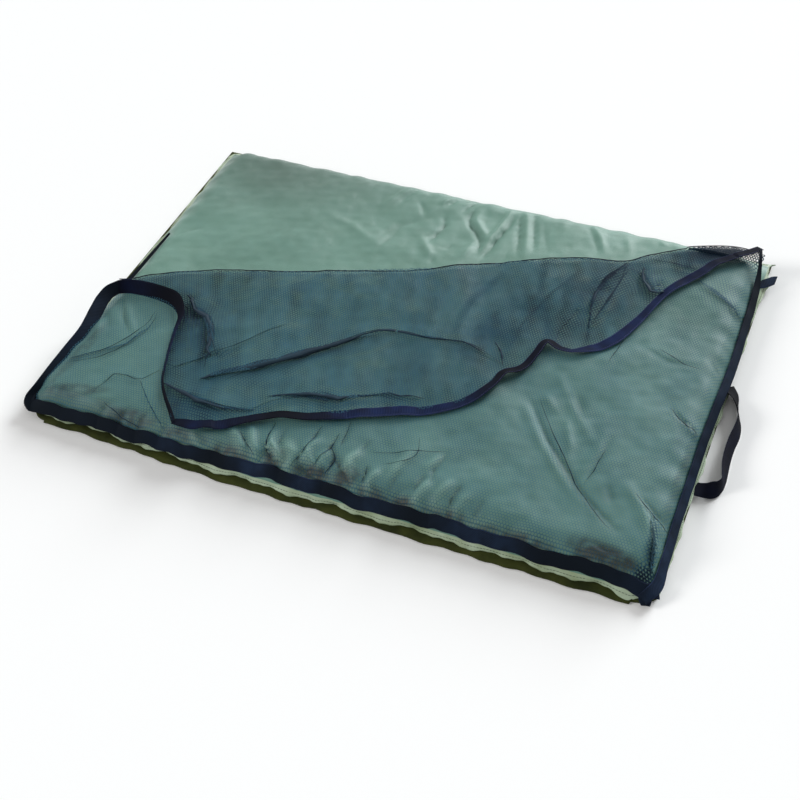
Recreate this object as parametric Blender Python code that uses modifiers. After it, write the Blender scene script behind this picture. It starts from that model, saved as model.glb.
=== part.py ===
"""An unhooking mat: two padded halves that fold together, a sewn-on net cover and a carry handle.

Metres, +Z up. X runs along the long side and Y from the near side to the far side. The origin is on
the ground under the middle of the mat. The left half turns up and over onto the right half about the
fold axis. The net is sewn to the near side, the right side and part of the left side, and its free
corner is turned back over a slanted line, as a flap that can be laid out flat again.
"""

import math

import bmesh
import bpy
import numpy as np
from mathutils import Matrix, Vector

# Padded body
mat_length = 0.940
mat_width = 0.645
mat_height = 0.046
crown_height = 0.0015
corner_round = 0.025
edge_roll = 0.022
flange_reach = 0.040
flange_height = 0.007
skin_thickness = 0.0016
foam_inset = 0.002
fold_gap = 0.020
gap = 0.0003

# The sloping side of the cover: places from where the top begins to roll down to the flange's rim,
# and the height left there above the flange
side_place_shares = (0, 0.161, 0.306, 0.452, 0.565, 0.666, 0.758, 0.852, 0.919, 1)
side_height_shares = (1, 0.990, 0.949, 0.833, 0.692, 0.551, 0.359, 0.167, 0.051, 0)

# Lower skin, whose rim bulges out under the flange
base_thickness = 0.0015
rim_reach = 0.046
rim_height = 0.0046
rim_roll = 0.004
rim_rise_start = 0.016
rim_edge_low_share = 0.45
rim_edge_high_share = 0.72

# Binding tape that sews the net to the sloping side
tape_inner = 0.0193
tape_outer = 0.0308
tape_thickness = 0.0015
slope_gap = 0.0005

# Net
strand_size = 0.0020
pocket_height = 0.0050
net_roll = 0.012
net_edge_lift = 0.0018
net_bend_share = 0.333
layer_gap = 0.0006
net_fold_start = 0.257
net_fold_run_out = -0.006
inner_net_columns = 7
inner_net_rows = 6
flap_rows = 4

# Mouth tape, sewn along the net's free edges. The path is given as shares of the mat's length and
# width, from the left side round the net's free corner to the far right corner
mouth_tape_width = 0.018
mouth_tape_thickness = 0.0020
mouth_path_shares = (
    (0.010, 0.385),
    (0.045, 0.400),
    (0.085, 0.385),
    (0.130, 0.350),
    (0.158, 0.300),
    (0.176, 0.215),
    (0.192, 0.140),
    (0.215, 0.080),
    (0.262, 0.038),
    (0.320, 0.050),
    (0.380, 0.088),
    (0.461, 0.131),
    (0.548, 0.200),
    (0.625, 0.252),
    (0.678, 0.335),
    (0.710, 0.455),
    (0.745, 0.525),
    (0.805, 0.552),
    (0.850, 0.645),
    (0.880, 0.760),
    (0.908, 0.830),
    (0.950, 0.895),
    (0.992, 0.945),
)
free_corner_share = 0.262
flap_start_share = 0.062
flap_stop_share = 0.968

# Carry handle
handle_centre = -0.050
handle_span = 0.186
handle_reach = 0.034
webbing_width = 0.025
webbing_thickness = 0.0016
handle_ground_gap = 0.0005
handle_path_shares = (
    (0.00, -1.00),
    (0.30, -1.00),
    (0.62, -0.985),
    (0.88, -0.93),
    (0.98, -0.82),
    (1.00, -0.65),
    (1.00, -0.22),
    (1.00, 0.22),
    (1.00, 0.65),
    (0.98, 0.82),
    (0.88, 0.93),
    (0.62, 0.985),
    (0.30, 1.00),
    (0.00, 1.00),
)
handle_twist_shares = (0, 0, 0.12, 0.40, 0.72, 1, 1, 1, 1, 0.72, 0.40, 0.12, 0, 0)

# Worked out from the sizes above
half_length = mat_length / 2
half_width = mat_width / 2
fold_side = fold_gap / 2
net_level = mat_height + crown_height + pocket_height + strand_size / 2
flap_level = net_level + strand_size + layer_gap
flap_axis_height = (net_level + flap_level) / 2
fold_axis_height = flap_level + max(strand_size, mouth_tape_thickness) / 2 + slope_gap + layer_gap
strand_reach = strand_size / 2 + gap
net_edge = tape_inner - strand_reach
net_bend = tape_inner * net_bend_share
handle_axis_reach = flange_reach + webbing_thickness / 2 + gap
handle_axis_height = rim_height + slope_gap + webbing_thickness / 2
least_step = slope_gap
middle_steps = 5
fold_steps = 2
crease_degrees = 40
right, left = 1, -1


def material(name, colour, roughness):
    """A matte fabric material."""
    made = bpy.data.materials.new(name)
    made.use_nodes = True
    shader = made.node_tree.nodes["Principled BSDF"]
    shader.inputs["Base Color"].default_value = (*colour, 1)
    shader.inputs["Roughness"].default_value = roughness
    shader.inputs["Metallic"].default_value = 0
    return made


# The outline of the top face and the surface of the cover
def beyond_edge(x, y):
    """How far a point lies outside the rounded outline of the top face, negative inside it."""
    along = abs(x) - (half_length - corner_round)
    across = abs(y) - (half_width - corner_round)
    outside = math.hypot(max(along, 0), max(across, 0))
    return outside + min(max(along, across), 0) - corner_round


def side_places():
    """Distances beyond the top face at which the sloping side bends."""
    return [share * (edge_roll + flange_reach) - edge_roll for share in side_place_shares]


def side_height(x, y):
    """Height of the cover without its crown."""
    left_there = np.interp(beyond_edge(x, y), side_places(), side_height_shares)
    return flange_height + (mat_height - flange_height) * float(left_there)


def skin_top(x, y):
    """Height of the cover's outer surface, with its crown."""
    along = max(1 - (x / half_length) ** 2, 0)
    across = max(1 - (y / half_width) ** 2, 0)
    return side_height(x, y) + crown_height * along * across


def skin_under(x, y):
    return skin_top(x, y) - skin_thickness


def foam_top(x, y):
    return skin_under(x, y) - gap


def foam_bottom(x, y):
    return base_thickness + gap


def base_top(x, y):
    """Upper side of the lower skin, which rises to its rim under the flange."""
    places = (rim_rise_start, tape_outer, rim_reach - rim_roll, rim_reach)
    heights = (base_thickness, rim_height, rim_height, rim_height * rim_edge_high_share)
    return float(np.interp(beyond_edge(x, y), places, heights))


def base_bottom(x, y):
    """Underside of the lower skin: flat on the ground, and rolled up at its rim."""
    places = (rim_reach - rim_roll, rim_reach)
    return float(np.interp(beyond_edge(x, y), places, (0, rim_height * rim_edge_low_share)))


def tape_bottom(x, y):
    return side_height(x, y) + slope_gap


def tape_top(x, y):
    return tape_bottom(x, y) + tape_thickness


def fold_panel_bottom(x, y):
    return base_bottom(x, y) + slope_gap


def net_height(x, y):
    """Middle of the net: level over the top face, and drawn down to the tape round its edge."""
    inward = (beyond_edge(x, y) + net_roll) / (net_edge + net_roll)
    inward = min(max(inward, 0), 1)
    edge_height = slope_gap + strand_size / 2 + net_edge_lift
    rise = net_level - mat_height - edge_height
    return side_height(x, y) + edge_height + rise * (1 - inward**2)


# Lines of the grids. Every piece on the sloping side shares them, so that the facets match
def kept_apart(wanted, more):
    """The wanted places, with those of more that lie clear of them, in order."""
    lines = list(wanted)
    for place in more:
        if all(abs(place - line) > least_step for line in lines):
            lines.append(place)
    return sorted(lines)


def edge_lines(half_size, inner, reach):
    """Lines from inner out to reach beyond the top face, for one side of the mat."""
    wanted = [half_size + inner, half_size + reach]
    bends = [*side_places(), tape_inner, tape_outer, rim_rise_start, rim_reach - rim_roll]
    more = [half_size + place for place in bends if inner < place < reach]
    return kept_apart(wanted, more)


def spread(low, high, steps):
    return [low + (high - low) * step / steps for step in range(steps + 1)]


def length_lines(side, start, reach, inner=-edge_roll):
    """Lines across the length of one half, from start near the fold out to reach."""
    middle = spread(start, half_length + inner, middle_steps)
    places = middle[:-1] + edge_lines(half_length, inner, reach)
    return sorted(side * place for place in places)


def width_lines(near, far, inner=-edge_roll):
    """Lines across the width, from near beyond the near edge to far beyond the far edge."""
    near_side = [-place for place in edge_lines(half_width, inner, near)]
    far_side = edge_lines(half_width, inner, far)
    middle = spread(-half_width - inner, half_width + inner, middle_steps + 1)
    return sorted(near_side) + middle[1:-1] + far_side


# Makers
def bent_grid(columns, rows, place):
    """A grid of columns by rows of cells, each vertex put at place(column, row)."""
    mesh = bmesh.new()
    bmesh.ops.create_grid(mesh, x_segments=columns, y_segments=rows, size=1)
    for vertex in mesh.verts:
        column = round((vertex.co.x + 1) / 2 * columns)
        row = round((vertex.co.y + 1) / 2 * rows)
        vertex.co = place(column, row)
    return mesh


def add_object(name, mesh, finish, holder):
    """Turns a bmesh in world coordinates into an object that hangs on an empty."""
    data = bpy.data.meshes.new(name)
    mesh.to_mesh(data)
    mesh.free()
    data.transform(Matrix.Translation(-holder.location))
    data.materials.append(finish)
    made = bpy.data.objects.new(name, data)
    made.parent = holder
    parts.objects.link(made)
    return made


def thicken(mesh, top, bottom):
    """Makes a flat grid a closed slab between two height functions."""
    raised = bmesh.ops.extrude_face_region(mesh, geom=mesh.faces[:])["geom"]
    upper = {item for item in raised if isinstance(item, bmesh.types.BMVert)}
    for vertex in mesh.verts:
        height = top if vertex in upper else bottom
        vertex.co.z = height(vertex.co.x, vertex.co.y)
    bmesh.ops.recalc_face_normals(mesh, faces=mesh.faces[:])


def slab(name, xs, ys, top, bottom, finish, holder, keep=None):
    """A sheet over the lines xs and ys, left out where keep says no, between two heights."""
    mesh = bent_grid(len(xs) - 1, len(ys) - 1, lambda column, row: (xs[column], ys[row], 0))
    if keep:
        dropped = [face for face in mesh.faces if not keep(*face.calc_center_median().xy)]
        bmesh.ops.delete(mesh, geom=dropped, context="FACES")
    thicken(mesh, top, bottom)
    made = add_object(name, mesh, finish, holder)
    made.data.shade_smooth()
    made.data.set_sharp_from_angle(angle=math.radians(crease_degrees))
    return made


def net(name, columns, rows, place, finish, holder):
    """A net of square-laid strands along the lines of a bent grid."""
    made = add_object(name, bent_grid(columns, rows, place), finish, holder)
    strands = made.modifiers.new("Strands", "WIREFRAME")
    strands.thickness = strand_size
    strands.use_even_offset = False
    strands.use_boundary = True
    strands.use_replace = True
    return made


def empty(name, location, parent=None):
    """An axis that pieces hang on."""
    made = bpy.data.objects.new(name, None)
    made.location = location
    made.parent = parent
    parts.objects.link(made)
    return made


# Padded halves
def in_flange(x, y):
    return max(abs(x) - half_length, abs(y) - half_width) > tape_outer


def padded_half(side, word, holder):
    """Foam, upper and lower skin and seam strip of one half."""
    slab(
        f"foam_core_{word}",
        length_lines(side, fold_side + foam_inset, -foam_inset),
        width_lines(-foam_inset, -foam_inset),
        foam_top,
        foam_bottom,
        foam,
        holder,
    )
    slab(
        f"top_skin_{word}",
        length_lines(side, fold_side, tape_outer - gap),
        width_lines(tape_outer - gap, tape_outer - gap),
        skin_top,
        skin_under,
        green_fabric,
        holder,
    )
    slab(
        f"bottom_skin_{word}",
        length_lines(side, fold_side, rim_reach),
        width_lines(rim_reach, rim_reach),
        base_top,
        base_bottom,
        olive_fabric,
        holder,
    )
    slab(
        f"seam_strip_{word}",
        length_lines(side, gap, flange_reach),
        width_lines(flange_reach, flange_reach),
        skin_top,
        skin_under,
        pale_fabric,
        holder,
        keep=in_flange,
    )


def fold_panels(holder):
    """The flexible strips of the cover between the two halves."""
    xs = spread(-fold_side + gap, fold_side - gap, fold_steps)
    slab(
        "fold_panel_top",
        xs,
        width_lines(tape_outer - gap, tape_outer - gap),
        skin_top,
        skin_under,
        green_fabric,
        holder,
    )
    slab(
        "fold_panel_bottom",
        xs,
        width_lines(rim_reach, rim_reach),
        lambda x, y: max(base_top(x, y), fold_panel_bottom(x, y) + base_thickness),
        fold_panel_bottom,
        olive_fabric,
        holder,
    )


# Binding tapes
def binding_tapes(side, word, holder, far_end):
    """Near tape of one half, and the tape up its short side, which runs to far_end."""
    near_rows = [-place for place in edge_lines(half_width, tape_inner, tape_outer)]
    slab(
        f"near_tape_{word}",
        length_lines(side, gap, tape_inner - gap),
        sorted(near_rows),
        tape_top,
        tape_bottom,
        navy_tape,
        holder,
    )
    side_rows = [row for row in width_lines(tape_outer, tape_outer) if row < far_end - least_step]
    side_columns = [side * place for place in edge_lines(half_length, tape_inner, tape_outer)]
    slab(
        f"side_tape_{word}",
        sorted(side_columns),
        [*side_rows, far_end],
        tape_top,
        tape_bottom,
        navy_tape,
        holder,
    )


# Net cover
def net_fold(x):
    """Where the net's slanted fold line crosses the length place x."""
    share = (x - net_fold_left.x) / (net_fold_right.x - net_fold_left.x)
    return net_fold_left.y + share * (net_fold_right.y - net_fold_left.y)


def net_panel(side, word, holder):
    """The net over one half, from the near tape to the slanted fold line."""
    turn = half_length - net_roll
    columns = spread(strand_reach, turn, inner_net_columns)
    columns += [half_length + net_bend, half_length + net_edge]
    columns = sorted(side * column for column in columns)
    lower = [-half_width - net_edge, -half_width - net_bend, -half_width + net_roll]
    rows = len(lower) + inner_net_rows

    def place(column, row):
        x = columns[column]
        last = len(lower) - 1
        top = net_fold(x) - strand_reach
        if row <= last:
            y = lower[row]
        elif row == rows:
            y = top
        else:
            y = lower[last] + (top - corner_round - lower[last]) * (row - last) / inner_net_rows
        return x, y, net_height(x, y)

    net(f"net_panel_{word}", len(columns) - 1, rows, place, navy_net, holder)


def mouth_point(share):
    """A point of the mouth tape's inner edge, at a share of the mat's length."""
    places, heights = zip(*mouth_path_shares)
    return Vector(
        (share * mat_length - half_length, float(np.interp(share, places, heights)) * mat_width - half_width)
    )


def mouth_points(first, last):
    """The bends of the mouth tape's inner edge between two shares of the mat's length, with its ends."""
    least = least_step / mat_length
    inside = [share for share, _ in mouth_path_shares if first + least < share < last - least]
    return [mouth_point(share) for share in (first, *inside, last)]


def net_flap(first_share, last_share, word, holder):
    """The turned-back net between two shares of the mat's length."""
    edge = mouth_points(first_share, last_share)

    def place(column, row):
        x, low = edge[column]
        high = net_fold(x) - strand_reach
        return x, low + (high - low) * row / flap_rows, flap_level

    net(f"net_flap_{word}", len(edge) - 1, flap_rows, place, navy_net, holder)


def mouth_tape(name, first_share, last_share, holder):
    """A flat tape outside the flap's edge, between two shares of the mat's length. An end at the fold is
    cut along the fold."""
    points = mouth_points(first_share, last_share)

    def place(column, row):
        before = points[max(column - 1, 0)]
        after = points[min(column + 1, len(points) - 1)]
        run = (after - before).normalized()
        outward = Vector((run.y, -run.x))
        away = strand_reach + row * mouth_tape_width
        spot = points[column] + outward * away
        if abs(points[column].x) < least_step:
            spot -= run * (outward.x * away / run.x)
        return spot.x, spot.y, 0

    mesh = bent_grid(len(points) - 1, 1, place)
    half_thickness = mouth_tape_thickness / 2
    thicken(mesh, lambda x, y: flap_level + half_thickness, lambda x, y: flap_level - half_thickness)
    add_object(name, mesh, navy_tape, holder)


# Carry handle
def handle(name, holder):
    """A webbing loop whose ends lie flat on the rim and whose grip stands on its edge."""
    data = bpy.data.curves.new(name, "CURVE")
    data.dimensions = "3D"
    data.twist_mode = "Z_UP"
    data.extrude = webbing_width / 2
    spline = data.splines.new("POLY")
    spline.points.add(len(handle_path_shares) - 1)
    grip_height = webbing_width / 2 + handle_ground_gap - handle_axis_height
    for point, (out, along), twist in zip(spline.points, handle_path_shares, handle_twist_shares):
        upright = math.pi / 2 * twist
        rise = grip_height * math.sin(upright)
        point.co = (out * handle_reach, along * handle_span / 2, rise, 1)
        point.tilt = math.pi / 2 - upright
    made = bpy.data.objects.new(name, data)
    made.parent = holder
    parts.objects.link(made)
    data.materials.append(navy_webbing)
    strap = made.modifiers.new("Strap", "SOLIDIFY")
    strap.thickness = webbing_thickness
    strap.offset = 0


# The model
for old in list(bpy.data.objects):
    bpy.data.objects.remove(old, do_unlink=True)

parts = bpy.data.collections.new("unhooking_mat")
bpy.context.scene.collection.children.link(parts)

green_fabric = material("green_fabric", (0.27, 0.37, 0.28), 0.55)
pale_fabric = material("pale_fabric", (0.42, 0.52, 0.38), 0.6)
olive_fabric = material("olive_fabric", (0.16, 0.18, 0.09), 0.65)
foam = material("foam", (0.75, 0.74, 0.68), 0.95)
navy_tape = material("navy_tape", (0.012, 0.018, 0.055), 0.7)
navy_net = material("navy_net", (0.015, 0.03, 0.06), 0.6)
navy_webbing = material("navy_webbing", (0.01, 0.014, 0.04), 0.75)

net_fold_left = Vector((-half_length - net_edge, net_fold_start - half_width))
net_fold_right = Vector((half_length + net_edge, half_width + net_fold_run_out))
net_fold_middle = net_fold(0)

right_half = empty("right_half_origin", (0, 0, 0))
left_half = empty("fold_axis", (0, 0, fold_axis_height))
flap_axis_right = empty("flap_axis_right", (0, net_fold_middle, flap_axis_height))
flap_axis_left = empty("flap_axis_left", (0, net_fold_middle, flap_axis_height))
handle_place = (half_length + handle_axis_reach, handle_centre, handle_axis_height)
handle_axis_right = empty("handle_axis_right", handle_place)

padded_half(right, "right", right_half)
padded_half(left, "left", left_half)
fold_panels(right_half)

binding_tapes(right, "right", right_half, half_width + tape_outer)
binding_tapes(left, "left", left_half, net_fold_left.y)

net_panel(right, "right", right_half)
net_panel(left, "left", left_half)

middle_share = half_length / mat_length
gap_share = gap / mat_length
strand_share = strand_reach / mat_length
net_flap(middle_share + strand_share, flap_stop_share, "right", flap_axis_right)
net_flap(flap_start_share, middle_share - strand_share, "left", flap_axis_left)
mouth_tape("mouth_tape_right", middle_share + gap_share, mouth_path_shares[-1][0], flap_axis_right)
mouth_tape("mouth_tape_left", free_corner_share + gap_share, middle_share - gap_share, flap_axis_left)
mouth_tape("mouth_tape_side", mouth_path_shares[0][0], free_corner_share - gap_share, flap_axis_left)

handle("handle_right", handle_axis_right)
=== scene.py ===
import math

import bmesh
import bpy
import numpy as np
from mathutils import Matrix, Vector


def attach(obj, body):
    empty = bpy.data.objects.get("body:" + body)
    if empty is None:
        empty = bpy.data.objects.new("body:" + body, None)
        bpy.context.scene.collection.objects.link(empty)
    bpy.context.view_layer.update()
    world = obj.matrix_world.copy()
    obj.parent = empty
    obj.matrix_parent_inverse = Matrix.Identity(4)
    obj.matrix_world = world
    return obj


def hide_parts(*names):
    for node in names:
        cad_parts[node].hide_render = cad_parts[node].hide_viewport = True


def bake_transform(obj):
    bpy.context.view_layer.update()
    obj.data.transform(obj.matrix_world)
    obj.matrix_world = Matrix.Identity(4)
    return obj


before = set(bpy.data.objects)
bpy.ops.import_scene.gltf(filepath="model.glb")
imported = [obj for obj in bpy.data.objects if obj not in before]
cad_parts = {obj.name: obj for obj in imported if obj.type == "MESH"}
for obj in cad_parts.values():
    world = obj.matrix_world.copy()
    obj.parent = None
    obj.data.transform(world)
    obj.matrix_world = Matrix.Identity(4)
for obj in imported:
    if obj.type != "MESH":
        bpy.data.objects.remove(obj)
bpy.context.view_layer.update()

# Camera, fitted to the edges of the mat in the photo
camera_place = (0.653, -1.3705, 1.439)
camera_azimuth, camera_elevation, camera_roll = 26.23, 46.03, -4.66
camera_lens, sensor_width = 58.5, 36


def add_camera():
    azimuth, elevation, roll = (math.radians(a) for a in (camera_azimuth, camera_elevation, camera_roll))
    level = Vector((math.cos(azimuth), math.sin(azimuth), 0))
    beyond_camera = Vector((-math.sin(azimuth), math.cos(azimuth), 0)) * math.cos(elevation)
    ahead = beyond_camera - Vector((0, 0, math.sin(elevation)))
    above = level.cross(ahead)
    right = math.cos(roll) * level + math.sin(roll) * above
    up = -math.sin(roll) * level + math.cos(roll) * above
    data = bpy.data.cameras.new("camera")
    data.lens, data.sensor_width = camera_lens, sensor_width
    made = bpy.data.objects.new("camera", data)
    bpy.context.scene.collection.objects.link(made)
    made.matrix_world = Matrix.Translation(camera_place) @ Matrix((right, up, -ahead)).transposed().to_4x4()
    bpy.context.scene.camera = made


add_camera()

# Sizes of the mat, as in the CAD
half_length, half_width = 0.470, 0.3225
mat_height, crown_height = 0.046, 0.0015
corner_round, edge_roll = 0.025, 0.022
flange_reach, flange_height = 0.040, 0.007
rim_reach = 0.046
side_place_shares = (0, 0.161, 0.306, 0.452, 0.565, 0.666, 0.758, 0.852, 0.919, 1)
side_height_shares = (1, 0.990, 0.949, 0.833, 0.692, 0.551, 0.359, 0.167, 0.051, 0)
tape_outer = 0.0308


# Materials
class Shading:
    """The nodes of a material or of the world, with a short call for each kind in use."""

    def __init__(self, owner):
        owner.use_nodes = True
        self.owner = owner
        self.nodes, self.links = owner.node_tree.nodes, owner.node_tree.links

    def give(self, socket, value):
        """Gives a socket a number, a colour or a link."""
        if isinstance(value, tuple):
            socket.default_value = (*value, 1)
        elif isinstance(value, (int, float)):
            socket.default_value = value
        elif value is not None:
            self.links.new(value, socket)

    def node(self, kind, **values):
        """A node with its attributes and inputs set. An input's name has _ for each space."""
        made = self.nodes.new(kind)
        for key, value in values.items():
            if hasattr(made, key):
                setattr(made, key, value)
            else:
                self.give(made.inputs[key.replace("_", " ")], value)
        return made

    def math(self, operation, *values):
        made = self.node("ShaderNodeMath", operation=operation)
        for socket, value in zip(made.inputs, values):
            self.give(socket, value)
        return made.outputs[0]

    def mix(self, factor, first, second, blend="MIX"):
        """A colour mix. first and second are colours or sockets."""
        made = self.node("ShaderNodeMix", data_type="RGBA", blend_type=blend)
        for place, value in ((0, factor), (6, first), (7, second)):
            self.give(made.inputs[place], value)
        return made.outputs[2]

    def ramp(self, value, low, high):
        made = self.node("ShaderNodeMapRange")
        for socket, given in zip(made.inputs, (value, low, high)):
            self.give(socket, given)
        return made.outputs[0]

    def noise(self, scale, detail):
        return self.node("ShaderNodeTexNoise", Vector=self.place, Scale=scale, Detail=detail).outputs["Fac"]

    def threads(self, way):
        """Fine bands of light and dark in one direction, X or Y."""
        values = {"Vector": self.place, "Scale": threads_per_metre, "Distortion": 0.6}
        return self.node("ShaderNodeTexWave", bands_direction=way, **values).outputs["Fac"]

    def bump(self, height, distance, strength, normal=None):
        made = self.node("ShaderNodeBump", Height=height, Distance=distance, Strength=strength, Normal=normal)
        return made.outputs[0]

    def stored(self, name):
        """A number stored on the mesh."""
        return self.node("ShaderNodeAttribute", attribute_name=name).outputs["Fac"]

    def seen(self):
        """1 for rays that come from the camera, a reflection or through glass, else 0."""
        rays = self.node("ShaderNodeLightPath").outputs
        first = self.math("MAXIMUM", rays["Is Camera Ray"], rays["Is Glossy Ray"])
        return self.math("MAXIMUM", first, rays["Is Transmission Ray"])

    def finish(self, **values):
        """Sets inputs of the surface shader and returns the material."""
        for key, value in values.items():
            self.give(self.nodes["Principled BSDF"].inputs[key.replace("_", " ")], value)
        return self.owner


def material(name):
    made = Shading(bpy.data.materials.new(name))
    made.place = made.node("ShaderNodeTexCoord").outputs["Object"]
    return made


# Colour of the painted shade in hollows and creases, and colours of the painted highlight on ridges of cloth
# and net
painted_shade_colour = (0.013, 0.018, 0.009)
cloth_highlight_colour, net_highlight_colour = (0.270, 0.450, 0.370), (0.110, 0.260, 0.280)
threads_per_metre, weave_depth = 900, 0.00012


def cloth_material(name, colour, shade, palest, roughness, sheen=0.0, shine=0.5):
    """Plain-woven coated cloth: colour drifts between three tones, with a weave, painted shade in hollows and
    creases, and painted highlights on ridges.
    """
    made = material(name)
    tone = made.mix(made.ramp(made.noise(7, 4), 0.35, 0.65), colour, shade)
    tone = made.mix(made.ramp(made.noise(34, 3), 0.3, 0.9), tone, palest)
    woven = made.math("MULTIPLY", *(made.threads(way) for way in "XY"))
    tone = made.mix(made.math("MULTIPLY", woven, 0.18), tone, shade, "MULTIPLY")
    # Painted shade: the cloth darkens toward the shade colour in hollows, crease valleys and the far left
    # corner
    tone = made.mix(made.stored("stain"), tone, painted_shade_colour)
    # Painted highlight: the cloth turns toward a paler green on the crease ridges
    tone = made.mix(made.stored("crest"), tone, cloth_highlight_colour)
    return made.finish(
        Base_Color=tone,
        Roughness=made.math("MULTIPLY_ADD", made.ramp(made.noise(60, 2), 0.2, 0.8), 0.12, roughness - 0.06),
        Specular_IOR_Level=shine,
        Sheen_Weight=sheen,
        Sheen_Roughness=0.4,
        Normal=made.bump(woven, weave_depth, 0.6, made.bump(made.noise(26, 3), 0.0016, 0.5)),
    )


def tape_material(name, colour, shade, border, ribs_per_metre, slant=0.0):
    """Woven tape: ribs across it, or slanted as a twill, with a paler thread along each edge. Where the
    stored face share is low, the tape is painted in its shade colour as painted shade, and the edge threads
    fade.
    """
    made = material(name)
    across, face = made.stored("across"), made.stored("face")
    phase = made.math("MULTIPLY", made.stored("along"), ribs_per_metre * math.tau)
    phase = made.math("ADD", phase, made.math("MULTIPLY", across, slant))
    ribs = made.math("MULTIPLY_ADD", made.math("SINE", phase), 0.5, 0.5)
    tone = made.mix(made.ramp(made.noise(45, 4), 0.35, 0.75), colour, shade)
    tone = made.mix(made.math("MULTIPLY", ribs, 0.22), tone, border)
    edge = made.math("MULTIPLY", made.ramp(made.math("ABSOLUTE", across), 0.88, 0.952), face)
    tone = made.mix(edge, tone, border)
    # Painted light and shade: the face share mixes the tape from its shade colour up to its lit tone
    return made.finish(
        Base_Color=made.mix(face, shade, tone),
        Roughness=0.75,
        Specular_IOR_Level=0.07,
        Normal=made.bump(made.math("ADD", ribs, edge), 0.0003, 0.8),
    )


def net_material(name, colour, shade, dark):
    """Thin synthetic strands whose tone drifts a little, with painted shade where the net lies bunched in
    layers or over shaded hollows.
    """
    made = material(name)
    tone = made.mix(made.ramp(made.noise(14, 3), 0.3, 0.7), colour, shade)
    # Painted shade: strands darken toward the dark colour where the net lies in layers and over the shaded
    # hollows of the cover
    tone = made.mix(made.stored("strand_shade"), tone, dark)
    # Painted highlight: strands over crease ridges turn toward the net highlight colour
    return made.finish(
        Base_Color=made.mix(made.stored("crest"), tone, net_highlight_colour),
        Roughness=0.6,
        Specular_IOR_Level=0.12,
        Normal=made.bump(made.noise(700, 2), 0.0002, 0.5),
    )


def foam_material():
    made = material("foam_cells")
    cells = made.node("ShaderNodeTexVoronoi", Vector=made.place, Scale=420.0).outputs["Distance"]
    return made.finish(
        Base_Color=made.mix(cells, (0.52, 0.50, 0.42), (0.75, 0.73, 0.64)),
        Roughness=0.9,
        Normal=made.bump(cells, 0.0008, 0.7),
    )


green = cloth_material(
    "green_cloth", (0.118, 0.252, 0.196), (0.092, 0.208, 0.160), (0.134, 0.275, 0.225), 0.42, sheen=0.12
)
pale = cloth_material(
    "pale_cloth", (0.38, 0.49, 0.34), (0.20, 0.26, 0.12), (0.50, 0.62, 0.47), 0.42, sheen=0.1
)
olive = cloth_material(
    "olive_cloth", (0.033, 0.043, 0.012), (0.016, 0.021, 0.007), (0.07, 0.08, 0.02), 0.7, shine=0.06
)
# Each tape's second colour is the painted shade it takes where its share of painted light is low
navy_tape = tape_material(
    "navy_binding", (0.012, 0.024, 0.050), (0.0034, 0.0064, 0.0110), (0.026, 0.044, 0.105), 330, 16.0
)
mouth_navy = tape_material(
    "mouth_binding", (0.004, 0.011, 0.048), (0.001, 0.0016, 0.005), (0.034, 0.052, 0.140), 420
)
webbing = tape_material(
    "navy_webbing", (0.003, 0.004, 0.012), (0.001, 0.0011, 0.0022), (0.007, 0.009, 0.02), 380, 16.0
)
strands = net_material("net_strands", (0.060, 0.178, 0.242), (0.036, 0.122, 0.190), (0.007, 0.018, 0.036))
thread = net_material("dark_thread", (0.007, 0.010, 0.024), (0.004, 0.006, 0.014), (0.004, 0.006, 0.014))
pinched_net = net_material("pinched_net", (0.014, 0.034, 0.052), (0.008, 0.020, 0.034), (0.008, 0.020, 0.034))
pale_thread = net_material("pale_thread", (0.10, 0.12, 0.26), (0.06, 0.08, 0.18), (0.06, 0.08, 0.18))
foam = foam_material()


# Functions of places, which are arrays of x and y in metres
def step(value, low, high):
    """Rises smoothly from 0 at low to 1 at high."""
    share = np.clip((value - low) / (high - low), 0, 1)
    return share * share * (3 - 2 * share)


def drift(x, y, wavelength, seed, waves=7):
    """Smooth drift about 0, made of a few sine waves with seeded directions."""
    random = np.random.default_rng(seed)
    total = np.zeros(np.shape(x))
    for _ in range(waves):
        turn, phase = random.uniform(0, math.tau, 2)
        length = wavelength * random.uniform(0.7, 1.5)
        total = total + np.sin((x * math.cos(turn) + y * math.sin(turn)) * math.tau / length + phase)
    return total / math.sqrt(waves)


def drifts(x, y, *parts):
    """The sum of several drifts, each given by its height, its wavelength and its seed."""
    return sum(height * drift(x, y, wavelength, seed) for height, wavelength, seed in parts)


def hump(value, middle, reach):
    """Falls smoothly from 1 at the middle to almost 0 at twice the reach."""
    return np.exp(-(((value - middle) / reach) ** 2))


def bell(x, y, cx, cy, reach_x, reach_y):
    return hump(x, cx, reach_x) * hump(y, cy, reach_y)


def beyond(x, y):
    """How far outside the top face a point lies. The top has round corners and the flange square ones."""
    along, across = np.abs(x) - half_length, np.abs(y) - half_width
    square = np.maximum(along, across)
    outside = np.hypot(np.maximum(along + corner_round, 0), np.maximum(across + corner_round, 0))
    rounded = outside + np.minimum(square + corner_round, 0) - corner_round
    return rounded + (square - rounded) * step(square, 0, flange_reach)


def lengths_along(path):
    """The length passed at each point of a path."""
    return np.concatenate([[0], np.cumsum(np.linalg.norm(np.diff(path, axis=0), axis=1))])


def unit(vectors):
    return vectors / np.linalg.norm(vectors, axis=1)[:, None]


def rightward(path):
    """Level unit vectors, in x and y, to the right of a path."""
    run = unit(np.gradient(path[:, :2], axis=0))
    return np.stack([run[:, 1], -run[:, 0]], -1)


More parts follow.
